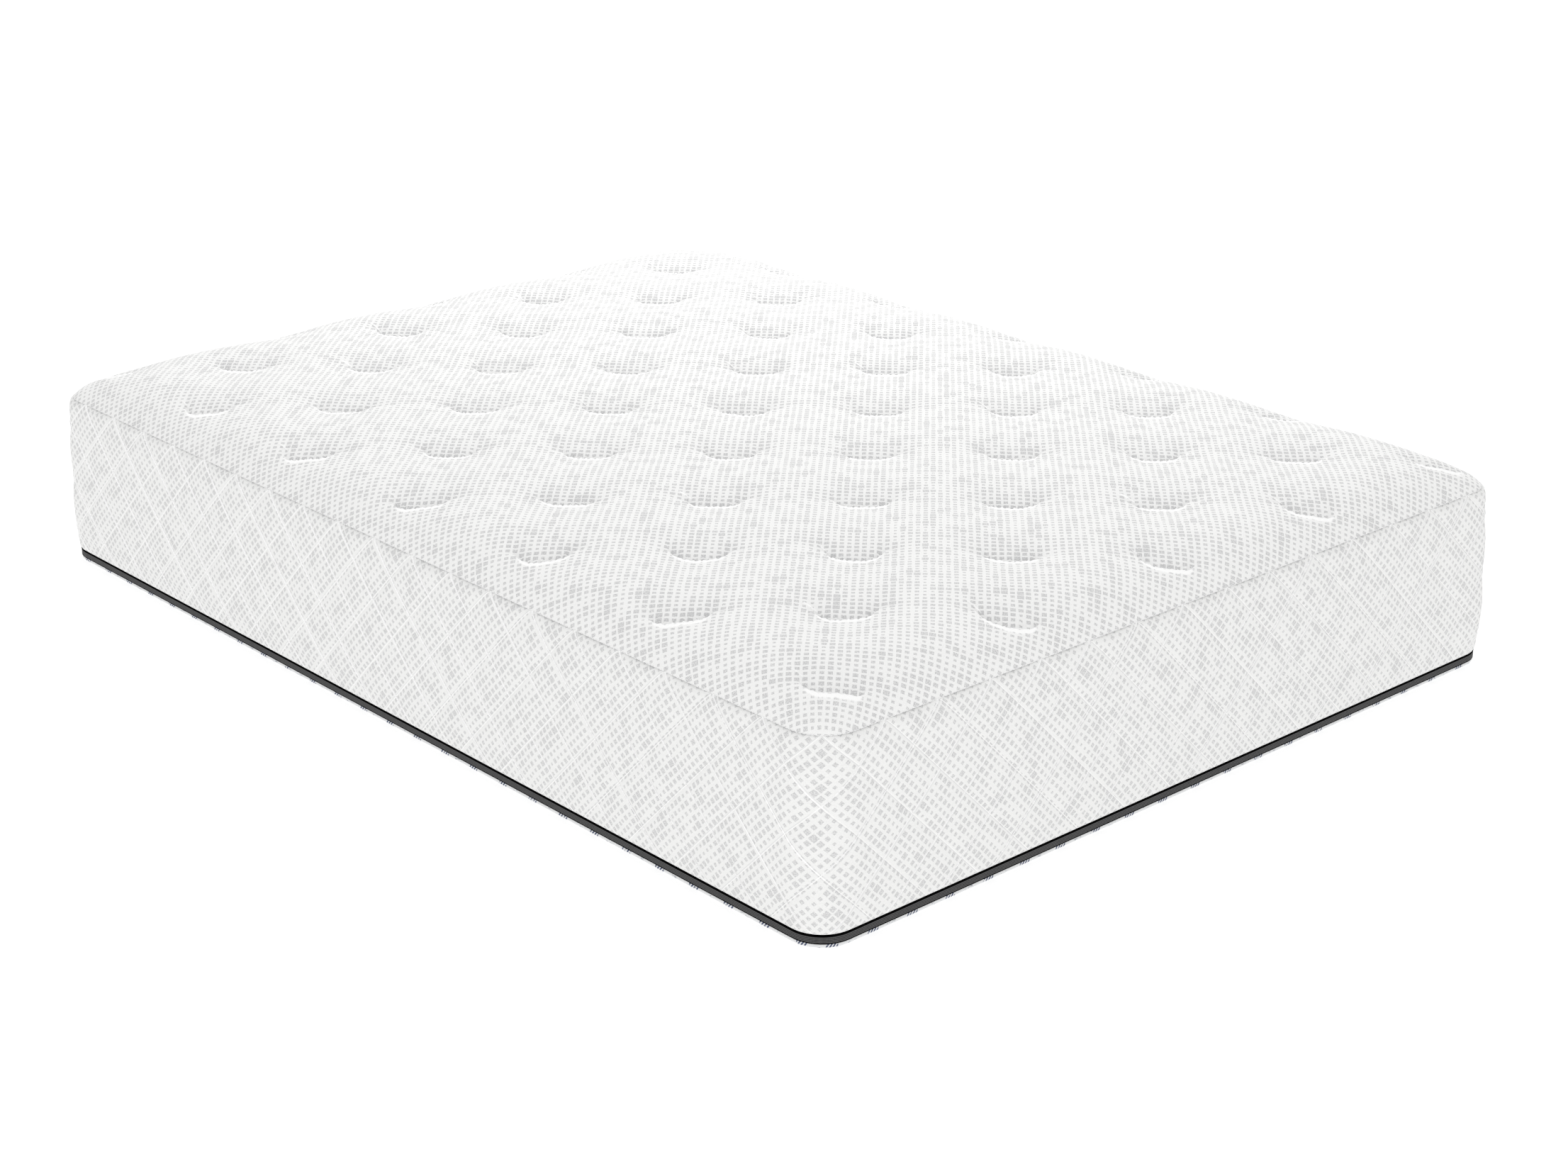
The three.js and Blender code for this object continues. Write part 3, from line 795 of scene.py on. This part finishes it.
def make_bottom_panel():
    """Panel under the mattress with its turned-up lip."""
    share = shares(RING_COLUMNS)
    inset = node_inset("bottom_panel")
    top = LEDGE - 0.1 * MM
    thick = 2 * MM
    under = [(at, 0) for at in (0.6, 0.4, 0.2, 0.08, 0.02)] + [(inset + 1.2 * MM, 0)]
    side = [(inset + 0.3 * MM, 0.6 * MM), (inset, 1.8 * MM), (inset + 0.4 * MM, top - 0.5 * MM),
            (inset + 0.9 * MM, top), (inset + thick, top)]
    inside = [(inset + thick, thick)] + [(at, thick) for at in (0.02, 0.2, 0.6)]
    rows = ring_points(under + side + inside, share)
    points = np.concatenate(rows + [[(0, 0, 0)], [(0, 0, thick)]])
    groups = capped_faces(rows)
    corners = np.concatenate([group.ravel() for group in groups])
    weave = points[corners, :2].copy()
    lip = slice(4 * RING_COLUMNS * (len(under) - 1), 4 * RING_COLUMNS * (len(under + side) - 1))
    k = np.arange(RING_COLUMNS)
    ends = np.column_stack([k, k + 1, k + 1, k]).ravel() / RING_COLUMNS * PERIMETER
    weave[lip] = np.column_stack([np.tile(ends, len(side)), points[corners[lip], 2]])
    piece = new_piece("bottom_cloth", "bottom_panel", points, groups, "panel_cloth", weave)


# ---- layers under the ticking

# Depth of each layer's top below the crown, at the seam and in the middle.
FOAM_DEPTH = (4.6 * MM, 22.6 * MM)
BACKING_DEPTH = (6.9 * MM, 40.9 * MM)
SLEEVE_DEPTH = (9.5 * MM, 43.5 * MM)
CORE_DEPTH = (11.3 * MM, 45.3 * MM)
LAYER_GAP = 0.3 * MM
LAYER_INSET = 9.5 * MM
BACKING = 0.8 * MM


def below_crown(distance, depth):
    """Height at a depth below the crown that grows from the seam to the middle."""
    return crown(distance) - depth[0] - (depth[1] - depth[0]) * rise(distance)


def lowered(depth, extra=0.0, follow=0.0):
    """Height function of a layer's face, which follows a share of the tufts' dips."""
    def height(x, y):
        distance = seam_distance(x, y)
        dips = crown(distance) - under_height(x, y, 0)
        return below_crown(distance, depth) - extra - follow * dips
    return height


def quilt_layer(name, node, top, bottom, slot):
    """Closed sheet between two height functions, with an eased rim."""
    share = shares(360)
    rim, *rows = rim_rows(share, [LAYER_INSET, LAYER_INSET + 2 * MM, LAYER_INSET + 6 * MM])
    grid = clear_of_rim(plan_grid(0.75, 1, 90, 120), LAYER_INSET + 14 * MM)
    plan, faces = triangulated(rim, np.concatenate([*rows, grid]))
    high, low = top(*plan.T), bottom(*plan.T)
    middle = (high + low) / 2
    fullness = 0.5 + 0.5 * smoothstep(0, 6 * MM, seam_distance(*plan.T) - LAYER_INSET)
    high, low = (middle + (face - middle) * fullness for face in (high, low))
    points = np.concatenate([np.column_stack([plan, high]), np.column_stack([plan, low])])
    k = np.arange(len(rim))
    groups = [faces, faces[:, ::-1] + len(plan), band_faces(k, len(plan) + k)]
    return new_piece(name, node, points, groups, slot)


def make_quilt_layers():
    """Wadding, foam and backing cloth of the quilted top."""
    def wadding_top(x, y):
        return under_height(x, y, TICKING + 0.6 * MM)

    wadding = quilt_layer("fibre_wadding", "quilt_wadding", wadding_top,
                          lowered(FOAM_DEPTH, -LAYER_GAP, 0.4), "fibre_wadding")
    foam = quilt_layer("quilting_foam", "quilt_foam", lowered(FOAM_DEPTH, 0, 0.4),
                       lowered(BACKING_DEPTH, -LAYER_GAP), "quilt_foam")
    backing = quilt_layer("quilting_backing", "quilt_backing", lowered(BACKING_DEPTH),
                          lowered(BACKING_DEPTH, BACKING), "non_woven")


def make_border_layers():
    """Foam and backing cloth of the quilted border."""
    share = shares(RING_COLUMNS)
    low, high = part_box("border_backing")
    front = node_inset("border_backing")
    back, top = front - 0.3 * MM, high.z - 1 * MM
    face = [(min(inset + 5.2 * MM, front - 1 * MM), z)
            for inset, z in PROFILE[::-3] if low.z < z < top]
    profile = [(face[0][0], low.z), *face, (back, top), (back, low.z)]
    foam = ring_piece("border_quilting_foam", "border_foam", ring_points(profile, share),
                      "quilt_foam")
    profile = [(front + 0.15 * MM * math.sin(40 * z), z) for z in np.linspace(low.z, high.z, 12)]
    profile += [(inset + BACKING, z) for inset, z in profile[::-1]]
    backing = ring_piece("border_quilting_backing", "border_backing",
                         ring_points(profile, share), "non_woven")


def core_piece(name, node, profile, slot):
    """Solid of the core from a profile that ends level in the middle, above and below."""
    share = shares(RING_COLUMNS)
    rows = []
    for inset, z in profile:
        # The corners tighten towards the middle as the crown's do.
        radius = radius_at(z) * (1 - (inset - SEAM_INSET) / SHOULDER) + 1 * MM
        plan, _ = outline(share, inset, max(radius, 1 * MM))
        rows.append(np.column_stack([plan, np.full(len(share), z)]))
    middle = [[(0, 0, profile[0][1])], [(0, 0, profile[-1][1])]]
    return new_piece(name, node, np.concatenate(rows + middle), capped_faces(rows), slot)


def crown_profile(side_inset, depth, extra=0.0):
    """Inset and height of a core layer's shoulder, from its side to the level middle."""
    start = side_inset - SEAM_INSET
    distances = start + (SHOULDER - start) * np.linspace(0, 1, 24) ** 1.3
    return [(SEAM_INSET + d, below_crown(d, depth) - extra) for d in distances]


def rounded_side(low, high, inset, radius):
    """Side of a slab with eased edges, from its underside up."""
    turns = np.linspace(0, math.pi / 2, 5)
    eased = [(inset + radius * (1 - math.sin(t)), radius * (1 - math.cos(t))) for t in turns]
    return [(at, low + step) for at, step in eased] + [(at, high - step) for at, step in eased[::-1]]


def make_core():
    """Foam slabs, the uppermost of which follows the crown."""
    inset = node_inset("support_foam")

    def flat_face(z):
        return [(inset + step, z) for step in (90 * MM, 40 * MM, 15 * MM)]

    for name, node in (("support_slab", "support_foam"), ("transition_slab", "transition_foam")):
        low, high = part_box(node)
        side = rounded_side(low.z, high.z, inset, 5 * MM)
        piece = core_piece(name, node, flat_face(low.z) + side + flat_face(high.z)[::-1], node)
    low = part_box("gel_memory_foam")[0].z
    profile = [*flat_face(low), (inset + 1.5 * MM, low), (inset, low + 1.5 * MM),
               *crown_profile(inset, CORE_DEPTH)]
    piece = core_piece("gel_foam_slab", "gel_memory_foam", profile, "gel_foam")


def make_sleeve():
    """Fire-barrier sleeve: over the core from above, its hem turned under the bottom edge."""
    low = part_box("fire_barrier_sock")[0].z
    inset = node_inset("fire_barrier_sock")
    thick = 1.5 * MM
    hem = inset + 70 * MM
    heights = np.linspace(low + 6 * MM, SEAM_HEIGHT - 14 * MM, 10)
    profile = [*crown_profile(inset + thick, SLEEVE_DEPTH, thick)[::-1],
               *((inset + thick, z) for z in heights[::-1]),
               (inset + thick, low + thick), (hem, low + thick), (hem, low),
               (inset + 2 * MM, low), (inset, low + 2 * MM), *((inset, z) for z in heights),
               *crown_profile(inset, SLEEVE_DEPTH)]
    piece = core_piece("fire_sleeve", "fire_barrier_sock", profile, "barrier_knit")


# ---- materials

def with_another(operation, swapped=False):
    """Method that joins a value to another value or number in a math node."""
    def method(self, other):
        return self.graph.math(operation, *((other, self) if swapped else (self, other)))
    return method


def alone(operation):
    """Method that puts a value through a math node."""
    return lambda self: self.graph.math(operation, self)


class Value:
    """An output of a shader node. Arithmetic on it adds math nodes."""

    def __init__(self, graph, socket):
        self.graph = graph
        self.socket = socket

    __add__ = __radd__ = with_another("ADD")
    __sub__, __rsub__ = with_another("SUBTRACT"), with_another("SUBTRACT", swapped=True)
    __mul__ = __rmul__ = with_another("MULTIPLY")
    __truediv__ = with_another("DIVIDE")
    __lt__, __gt__ = with_another("LESS_THAN"), with_another("GREATER_THAN")
    least, most = with_another("MINIMUM"), with_another("MAXIMUM")
    __abs__, __round__, __floor__ = alone("ABSOLUTE"), alone("ROUND"), alone("FLOOR")
    fraction, sine = alone("FRACT"), alone("SINE")


class Graph:
    """The shader nodes of one material."""

    def __init__(self, name, roughness=0.9, sheen=0.0, specular=0.2):
        self.material = bpy.data.materials.new(name)
        self.material.use_nodes = True
        self.tree = self.material.node_tree
        self.shader = self.tree.nodes["Principled BSDF"]
        self.fill(self.shader, {"Roughness": roughness, "Specular IOR Level": specular,
                                "Sheen Weight": sheen, "Sheen Roughness": 0.5})

    def fill(self, node, inputs):
        """Links or sets a node's inputs, given by place or by name."""
        for key, value in inputs.items() if isinstance(inputs, dict) else enumerate(inputs):
            if isinstance(value, Value):
                self.tree.links.new(value.socket, node.inputs[key])
            else:
                node.inputs[key].default_value = value

    def add(self, kind, inputs=(), out=0, **settings):
        """An output of a new node."""
        node = self.tree.nodes.new("ShaderNode" + kind)
        for name, setting in settings.items():
            setattr(node, name, setting)
        self.fill(node, inputs)
        return Value(self, node.outputs[out])

    def math(self, operation, *values):
        return self.add("Math", values, operation=operation)

    def place(self, out="Object"):
        return self.add("TexCoord", out=out)

    def attribute(self, name):
        return self.add("Attribute", out="Fac", attribute_name=name)

    def cloth(self):
        return self.add("UVMap", uv_map="weave")

    def split(self, vector):
        first = self.add("SeparateXYZ", [vector])
        return [Value(self, socket) for socket in first.socket.node.outputs]

    def join(self, x, y):
        return self.add("CombineXYZ", (x, y))

    def stretch(self, vector, scale):
        return self.add("Mapping", {"Vector": vector, "Scale": scale})

    def noise(self, vector, scale, detail=2.0, roughness=0.5):
        return self.add("TexNoise", {"Vector": vector, "Scale": scale, "Detail": detail,
                                     "Roughness": roughness})

    def cells(self, vector, scale):
        return self.add("TexVoronoi", {"Vector": vector, "Scale": scale}, out="Distance")

    def ramp(self, value, low, high, to_low=0.0, to_high=1.0):
        return self.add("MapRange", (value, low, high, to_low, to_high),
                        interpolation_type="SMOOTHSTEP")

    def mix(self, factor, first, second):
        """A colour between two; a Mix node's colours are its inputs 6 and 7 and its output 2."""
        first, second = ((*item, 1) if isinstance(item, tuple) else item
                         for item in (first, second))
        return self.add("Mix", {0: factor, 6: first, 7: second}, out=2, data_type="RGBA")

    def dressed(self, colour, height, distance, strength=1.0):
        """The material, once its shader has a colour and a bump."""
        bump = self.add("Bump", {"Height": height, "Distance": distance, "Strength": strength})
        self.fill(self.shader, {"Base Color": colour, "Normal": bump})
        return self.material


def quilting_lines(g, x, y):
    """Shares of a point on the bright upper threads, whose whiteness is partly painted highlight,
    the finer lower ones, and the painted shadow beside either.
    """
    nx, ny, _ = g.split(g.place("Normal"))
    # The bright family flips between the faces across x and those across y: its extra whiteness is
    # painted highlight.
    lean = y * ((abs(nx) > abs(ny)) * 2 - 1)
    mm = MM * math.sqrt(2) / QUILT_PERIOD
    # The lines are drawn wider towards the far end of the side that faces -x, as painted highlight.
    along_side = g.split(g.place())[1]
    wide = (nx < -0.5) * g.ramp(along_side, *WIDENING, 0, 1.1 * mm) + mm
    upper, lower = (x + lean) / QUILT_PERIOD, (x - lean) / QUILT_PERIOD
    line = round(upper)
    mood = g.noise(g.join(line, 0.37), 1.7, 0.0)
    dashes = g.noise(g.join(lower * 3.2, line), 1.0, 1.0)
    steady = g.ramp(mood + dashes * 0.9, 0.45, 0.74, 0.5, 1)
    aside, far_off = upper - line, lower - round(lower)
    bright = g.ramp(abs(aside), wide * 0.65, wide * 1.4, 1, 0) * steady
    fine = g.ramp(abs(far_off), wide * 0.4, wide * 1.1, 0.85, 0)
    # Painted shadow beside each bright line, and painted shade along one side of each fine line's
    # groove.
    beside = g.ramp(abs(aside - 2.7 * mm), 0.4 * mm, 1.4 * mm, 0.7, 0)
    fine_beside = g.ramp(abs(far_off + 1.5 * mm), 0.2 * mm, 1.0 * mm, 1, 0)
    return bright, fine, beside.most(fine_beside)


def dot_pattern(g, x, y, spread):
    """Soft squares on a diagonal lattice whose sizes drift in clouds and grow with a spread."""
    s, t = (x + y) * (1 / DOT_PERIOD), (x - y) * (1 / DOT_PERIOD)
    edge = abs(s.fraction() - 0.5).most(abs(t.fraction() - 0.5))
    cloud = g.noise(g.join(math.floor(s), math.floor(t)), 0.42, 2.0, 0.55)
    cluster = g.ramp(cloud, 0.6, 0.68, 0.0, 0.09)
    half = (g.ramp(cloud, 0.3, 0.66, 0.18, 0.35) + cluster + spread * 0.07).least(0.44)
    soft = 0.03
    return 1 - g.ramp(edge, half - soft, half + soft)


def knit_ticking(name="knit_ticking", quilted=False):
    """Off-white knit with a jacquard of grey squares; stitched lines or tufts break it up."""
    g = Graph(name, roughness=0.92, sheen=0.08)
    cloth = g.cloth()
    x, y, _ = g.split(cloth)
    # pit is the painted shade of the slopes behind the tufts.
    pit = 0.0 if quilted else g.attribute("pit")
    dot = dot_pattern(g, x, y, pit)
    flecks = g.noise(g.stretch(cloth, (1, 1.5, 1)), 480, 1.0)
    strength = dot * g.ramp(flecks, 0.34, 0.62, 0.3, 1.0)
    loops = g.noise(g.stretch(cloth, (1, 0.7, 1)), 700, 1.0)
    # The top gets lighter whites than the border: painted light on its upward face.
    whites = (DARKER_WHITE, WHITE) if quilted else (TOP_DARKER_WHITE_WITH_PAINTED_LIGHT, TOP_WHITE_WITH_PAINTED_LIGHT)
    ground = g.mix(g.ramp(loops, 0.3, 0.7), *whites)
    if quilted:
        bright, fine, beside = quilting_lines(g, x, y)
        # Painted highlight: a thin white line along the hem's folded edge just above the piping.
        turned = g.ramp(y * -1, FOOT - 4.6 * MM, FOOT - 3 * MM)
        for share, tone in ((beside, LINE_SHADOW), (fine, FINE_LINE), (bright, THREAD_WHITE_AND_PAINTED_HIGHLIGHT),
                            (turned, THREAD_WHITE_AND_PAINTED_HIGHLIGHT)):
            ground = g.mix(share, ground, tone)
        strength = strength * (1 - bright.most(fine).most(turned))
    else:
        # Painted highlight: the tufts' crests are whitened and lose their dots; painted shade greys
        # the slopes behind them.
        crest = g.ramp(g.attribute("crest"), 0.2, 0.65)
        ground = g.mix(crest, g.mix(pit * 0.36, ground, PAINTED_SLOPE_SHADE_GREY), THREAD_WHITE_AND_PAINTED_HIGHLIGHT)
        strength = (strength * (1 - crest) * (1 + pit * 0.5)).least(1)
    # On the slopes behind the tufts the dots turn darker: painted shade.
    colour = g.mix(strength, ground, g.mix(pit, DOT_GREY, DOT_GREY_IN_PAINTED_SHADE))
    return g.dressed(colour, loops * 0.35 + dot * -0.5, 0.25 * MM, 0.6)


def thread():
    """Glossier twisted fibres."""
    g = Graph("thread", roughness=0.55, sheen=0.2, specular=0.4)
    fibres = g.noise(g.place(), 1500)
    return g.dressed(g.mix(fibres, (0.94, 0.94, 0.94), (0.98, 0.98, 0.98)), fibres, 0.1 * MM)


def charcoal_tape():
    """Fuzzy woven tape with near-black painted shade in the grooves between its ribs."""
    g = Graph("charcoal_tape", roughness=0.8, sheen=0.1)
    x, y, z = g.split(g.place())
    weft = ((x + y) * (2 * math.pi / (1.1 * MM))).sine()
    tone = weft * 0.1 + g.noise(g.place(), 900, 3.0, 0.7)
    rib = (z - BAND_BOTTOM) * (BAND_RIBS / (BAND_TOP - BAND_BOTTOM))
    # Painted shade: the grooves between the ribs are coloured near-black.
    groove = g.ramp(abs(rib.fraction() - 0.5), 0.22, 0.4)
    web = g.mix(g.ramp(tone, 0.25, 0.8), (0.07, 0.07, 0.071), (0.125, 0.125, 0.126))
    return g.dressed(g.mix(groove, web, (0.012, 0.012, 0.012)), tone, 0.15 * MM, 0.7)


def black_edge():
    """Dull black edging with fine ribs across it."""
    g = Graph("black_edge", specular=0.0)
    x, y, _ = g.split(g.place())
    ribs = ((x + y) * (2 * math.pi / (1.6 * MM))).sine()
    fuzz = g.noise(g.place(), 700, 3.0, 0.7)
    colour = g.mix(fuzz, (0.0006, 0.0006, 0.0006), (0.0026, 0.0026, 0.0028))
    return g.dressed(colour, ribs * 0.3 + fuzz, 0.15 * MM, 0.6)


def panel_cloth():
    """White cloth, greyed all over as painted shadow from the band above its lip, with small groups
    of slate dashes and thin grey wisps of painted shade between them.
    """
    g = Graph("panel_cloth", sheen=0.05)
    cloth = g.cloth()
    x, y, _ = g.split(cloth)
    row = math.floor(y / (36 * MM))
    place = (x / (73 * MM) + row * 0.5).fraction()
    slant = (x / (5.6 * MM) - y / (7 * MM)).fraction()
    dash = g.ramp(abs(slant - 0.5), 0.34, 0.2)
    group = g.ramp(abs(place - 0.25), 0.15, 0.12)
    ragged = g.ramp(g.noise(cloth, 180), 0.34, 0.42)
    wisp = g.ramp(g.noise(g.stretch(cloth, (1, 4, 1)), 110), 0.56, 0.62)
    wisp_place = g.ramp(abs(place - 0.72), 0.14, 0.1)
    # The ground's grey is painted shadow under the band; the wisps are painted shade.
    ground = g.mix(wisp * wisp_place * 0.7, (0.78, 0.785, 0.79), (0.26, 0.28, 0.33))
    colour = g.mix(dash * group * ragged, ground, (0.07, 0.09, 0.16))
    return g.dressed(colour, g.noise(g.place(), 1000), 0.2 * MM, 0.5)


def foam(name, light, dark, cell):
    """Open-cell foam: a fine pitted skin with faint clouds of tone."""
    g = Graph(name, roughness=0.85)
    pits = g.cells(g.place(), 1 / cell)
    clouds = g.noise(g.place(), 9, 3.0)
    tone = g.ramp(pits, 0.1, 0.7) * 0.7 + clouds * 0.3
    return g.dressed(g.mix(tone, dark, light), pits, 0.5 * MM, 0.7)


def gel_foam():
    """Memory foam with a swirl of paler and bluer gel."""
    g = Graph("gel_foam", roughness=0.7, specular=0.35)
    swirl = g.noise(g.place(), 14, 6.0, 0.65)
    pits = g.cells(g.place(), 650)
    tone = g.ramp(swirl + pits * 0.08, 0.38, 0.66)
    return g.dressed(g.mix(tone, (0.25, 0.46, 0.66), (0.55, 0.7, 0.8)), pits, 0.4 * MM, 0.6)


def fibre_cloth(name, light, dark, scale, stretch):
    """Matted or knitted fibres: fine streaks over a soft mottle."""
    g = Graph(name, roughness=0.95, sheen=0.15)
    streaks = g.noise(g.stretch(g.place(), stretch), scale, 4.0, 0.7)
    mottle = g.noise(g.place(), scale / 30)
    tone = g.ramp(streaks * 0.7 + mottle * 0.3, 0.3, 0.7)
    return g.dressed(g.mix(tone, dark, light), streaks, 0.4 * MM, 0.8)


# Light and dark tone of each foam, and the size of its cells.
FOAMS = {
    "quilt_foam": ((0.9, 0.89, 0.82), (0.74, 0.72, 0.62), 1.6 * MM),
    "transition_foam": ((0.72, 0.76, 0.79), (0.52, 0.56, 0.6), 2 * MM),
    "support_foam": ((0.87, 0.84, 0.75), (0.66, 0.62, 0.5), 2.4 * MM),
}
# Light and dark tone of each fibrous cloth, its scale and how its streaks are stretched.
CLOTHS = {
    "fibre_wadding": ((0.93, 0.93, 0.91), (0.8, 0.8, 0.77), 240, (1, 1, 1)),
    "non_woven": ((0.84, 0.84, 0.83), (0.68, 0.68, 0.67), 500, (1, 2.5, 1)),
    "barrier_knit": ((0.86, 0.83, 0.75), (0.66, 0.62, 0.53), 700, (3, 3, 0.6)),
}


def make_looks():
    """Materials by the record's slot names, with one more for the quilted border."""
    looks = {make.__name__: make()
             for make in (knit_ticking, thread, charcoal_tape, black_edge, panel_cloth, gel_foam)}
    looks["quilted_ticking"] = knit_ticking("quilted_ticking", quilted=True)
    looks.update({name: foam(name, *tones) for name, tones in FOAMS.items()})
    looks.update({name: fibre_cloth(name, *tones) for name, tones in CLOTHS.items()})
    return looks


# ---- stage

CAMERA_AT = (-2.943, -3.364, 1.801)
CAMERA_HEADING = 42.051  # degrees
CAMERA_PITCH = 21.646
CAMERA_LENS = 63.07
SENSOR_WIDTH = 36
VIEW_DISTANCE = 60

FLOOR_HALF = 30
FLOOR_DROP = 0.5 * MM
FLOOR_GREY = 0.36
FLOOR_GLOW = 0.75
WORLD_STRENGTH = 0.88


def make_camera():
    data = bpy.data.cameras.new("camera")
    data.lens = CAMERA_LENS
    data.sensor_width = SENSOR_WIDTH
    data.clip_end = VIEW_DISTANCE
    camera = new_object("camera", data)
    camera.location = CAMERA_AT
    camera.rotation_euler = np.radians((90 - CAMERA_PITCH, 0, -CAMERA_HEADING))
    bpy.context.scene.camera = camera


def make_floor():
    mesh = bpy.data.meshes.new("floor")
    corners = [(x * FLOOR_HALF, y * FLOOR_HALF, 0) for x, y in ((-1, -1), (1, -1), (1, 1), (-1, 1))]
    mesh.from_pydata(corners, [], [(0, 1, 2, 3)])
    floor = new_object("floor", mesh)
    floor.location.z = -FLOOR_DROP
    g = Graph("floor", roughness=1.0, specular=0.0)
    g.fill(g.shader, {"Base Color": (FLOOR_GREY, FLOOR_GREY, FLOOR_GREY, 1),
                      "Emission Color": (1, 1, 1, 1), "Emission Strength": FLOOR_GLOW})
    mesh.materials.append(g.material)


def add_area(name, at, towards, size, power):
    data = bpy.data.lights.new(name, "AREA")
    data.shape = "RECTANGLE"
    data.size, data.size_y = size
    data.energy = power
    light = new_object(name, data)
    light.location = at
    direction = Vector(towards) - Vector(at)
    light.rotation_euler = direction.to_track_quat("-Z", "Y").to_euler()


def make_light():
    scene = bpy.context.scene
    world = bpy.data.worlds.new("studio")
    world.use_nodes = True
    background = world.node_tree.nodes["Background"]
    background.inputs["Color"].default_value = (1, 1, 1, 1)
    background.inputs["Strength"].default_value = WORLD_STRENGTH
    scene.world = world
    scene.view_settings.view_transform = "Standard"
    add_area("back_light", (1.75, 1.5, 2.2), (0.2, 0.2, 0.3), (2.0, 1.2), 29.5)
    add_area("front_fill", (-4.0, -4.0, 2.2), (0, 0, 0.2), (4, 3), 30)


# ---- build

LOOKS = make_looks()

for make in (make_top_ticking, make_border_ticking, make_border_hem, make_border_stitches,
             make_seam_stitches, make_tuft_stitches, make_band, make_piping, make_lower_edge,
             make_bottom_panel, make_quilt_layers, make_border_layers, make_core, make_sleeve,
             make_camera, make_floor, make_light):
    make()
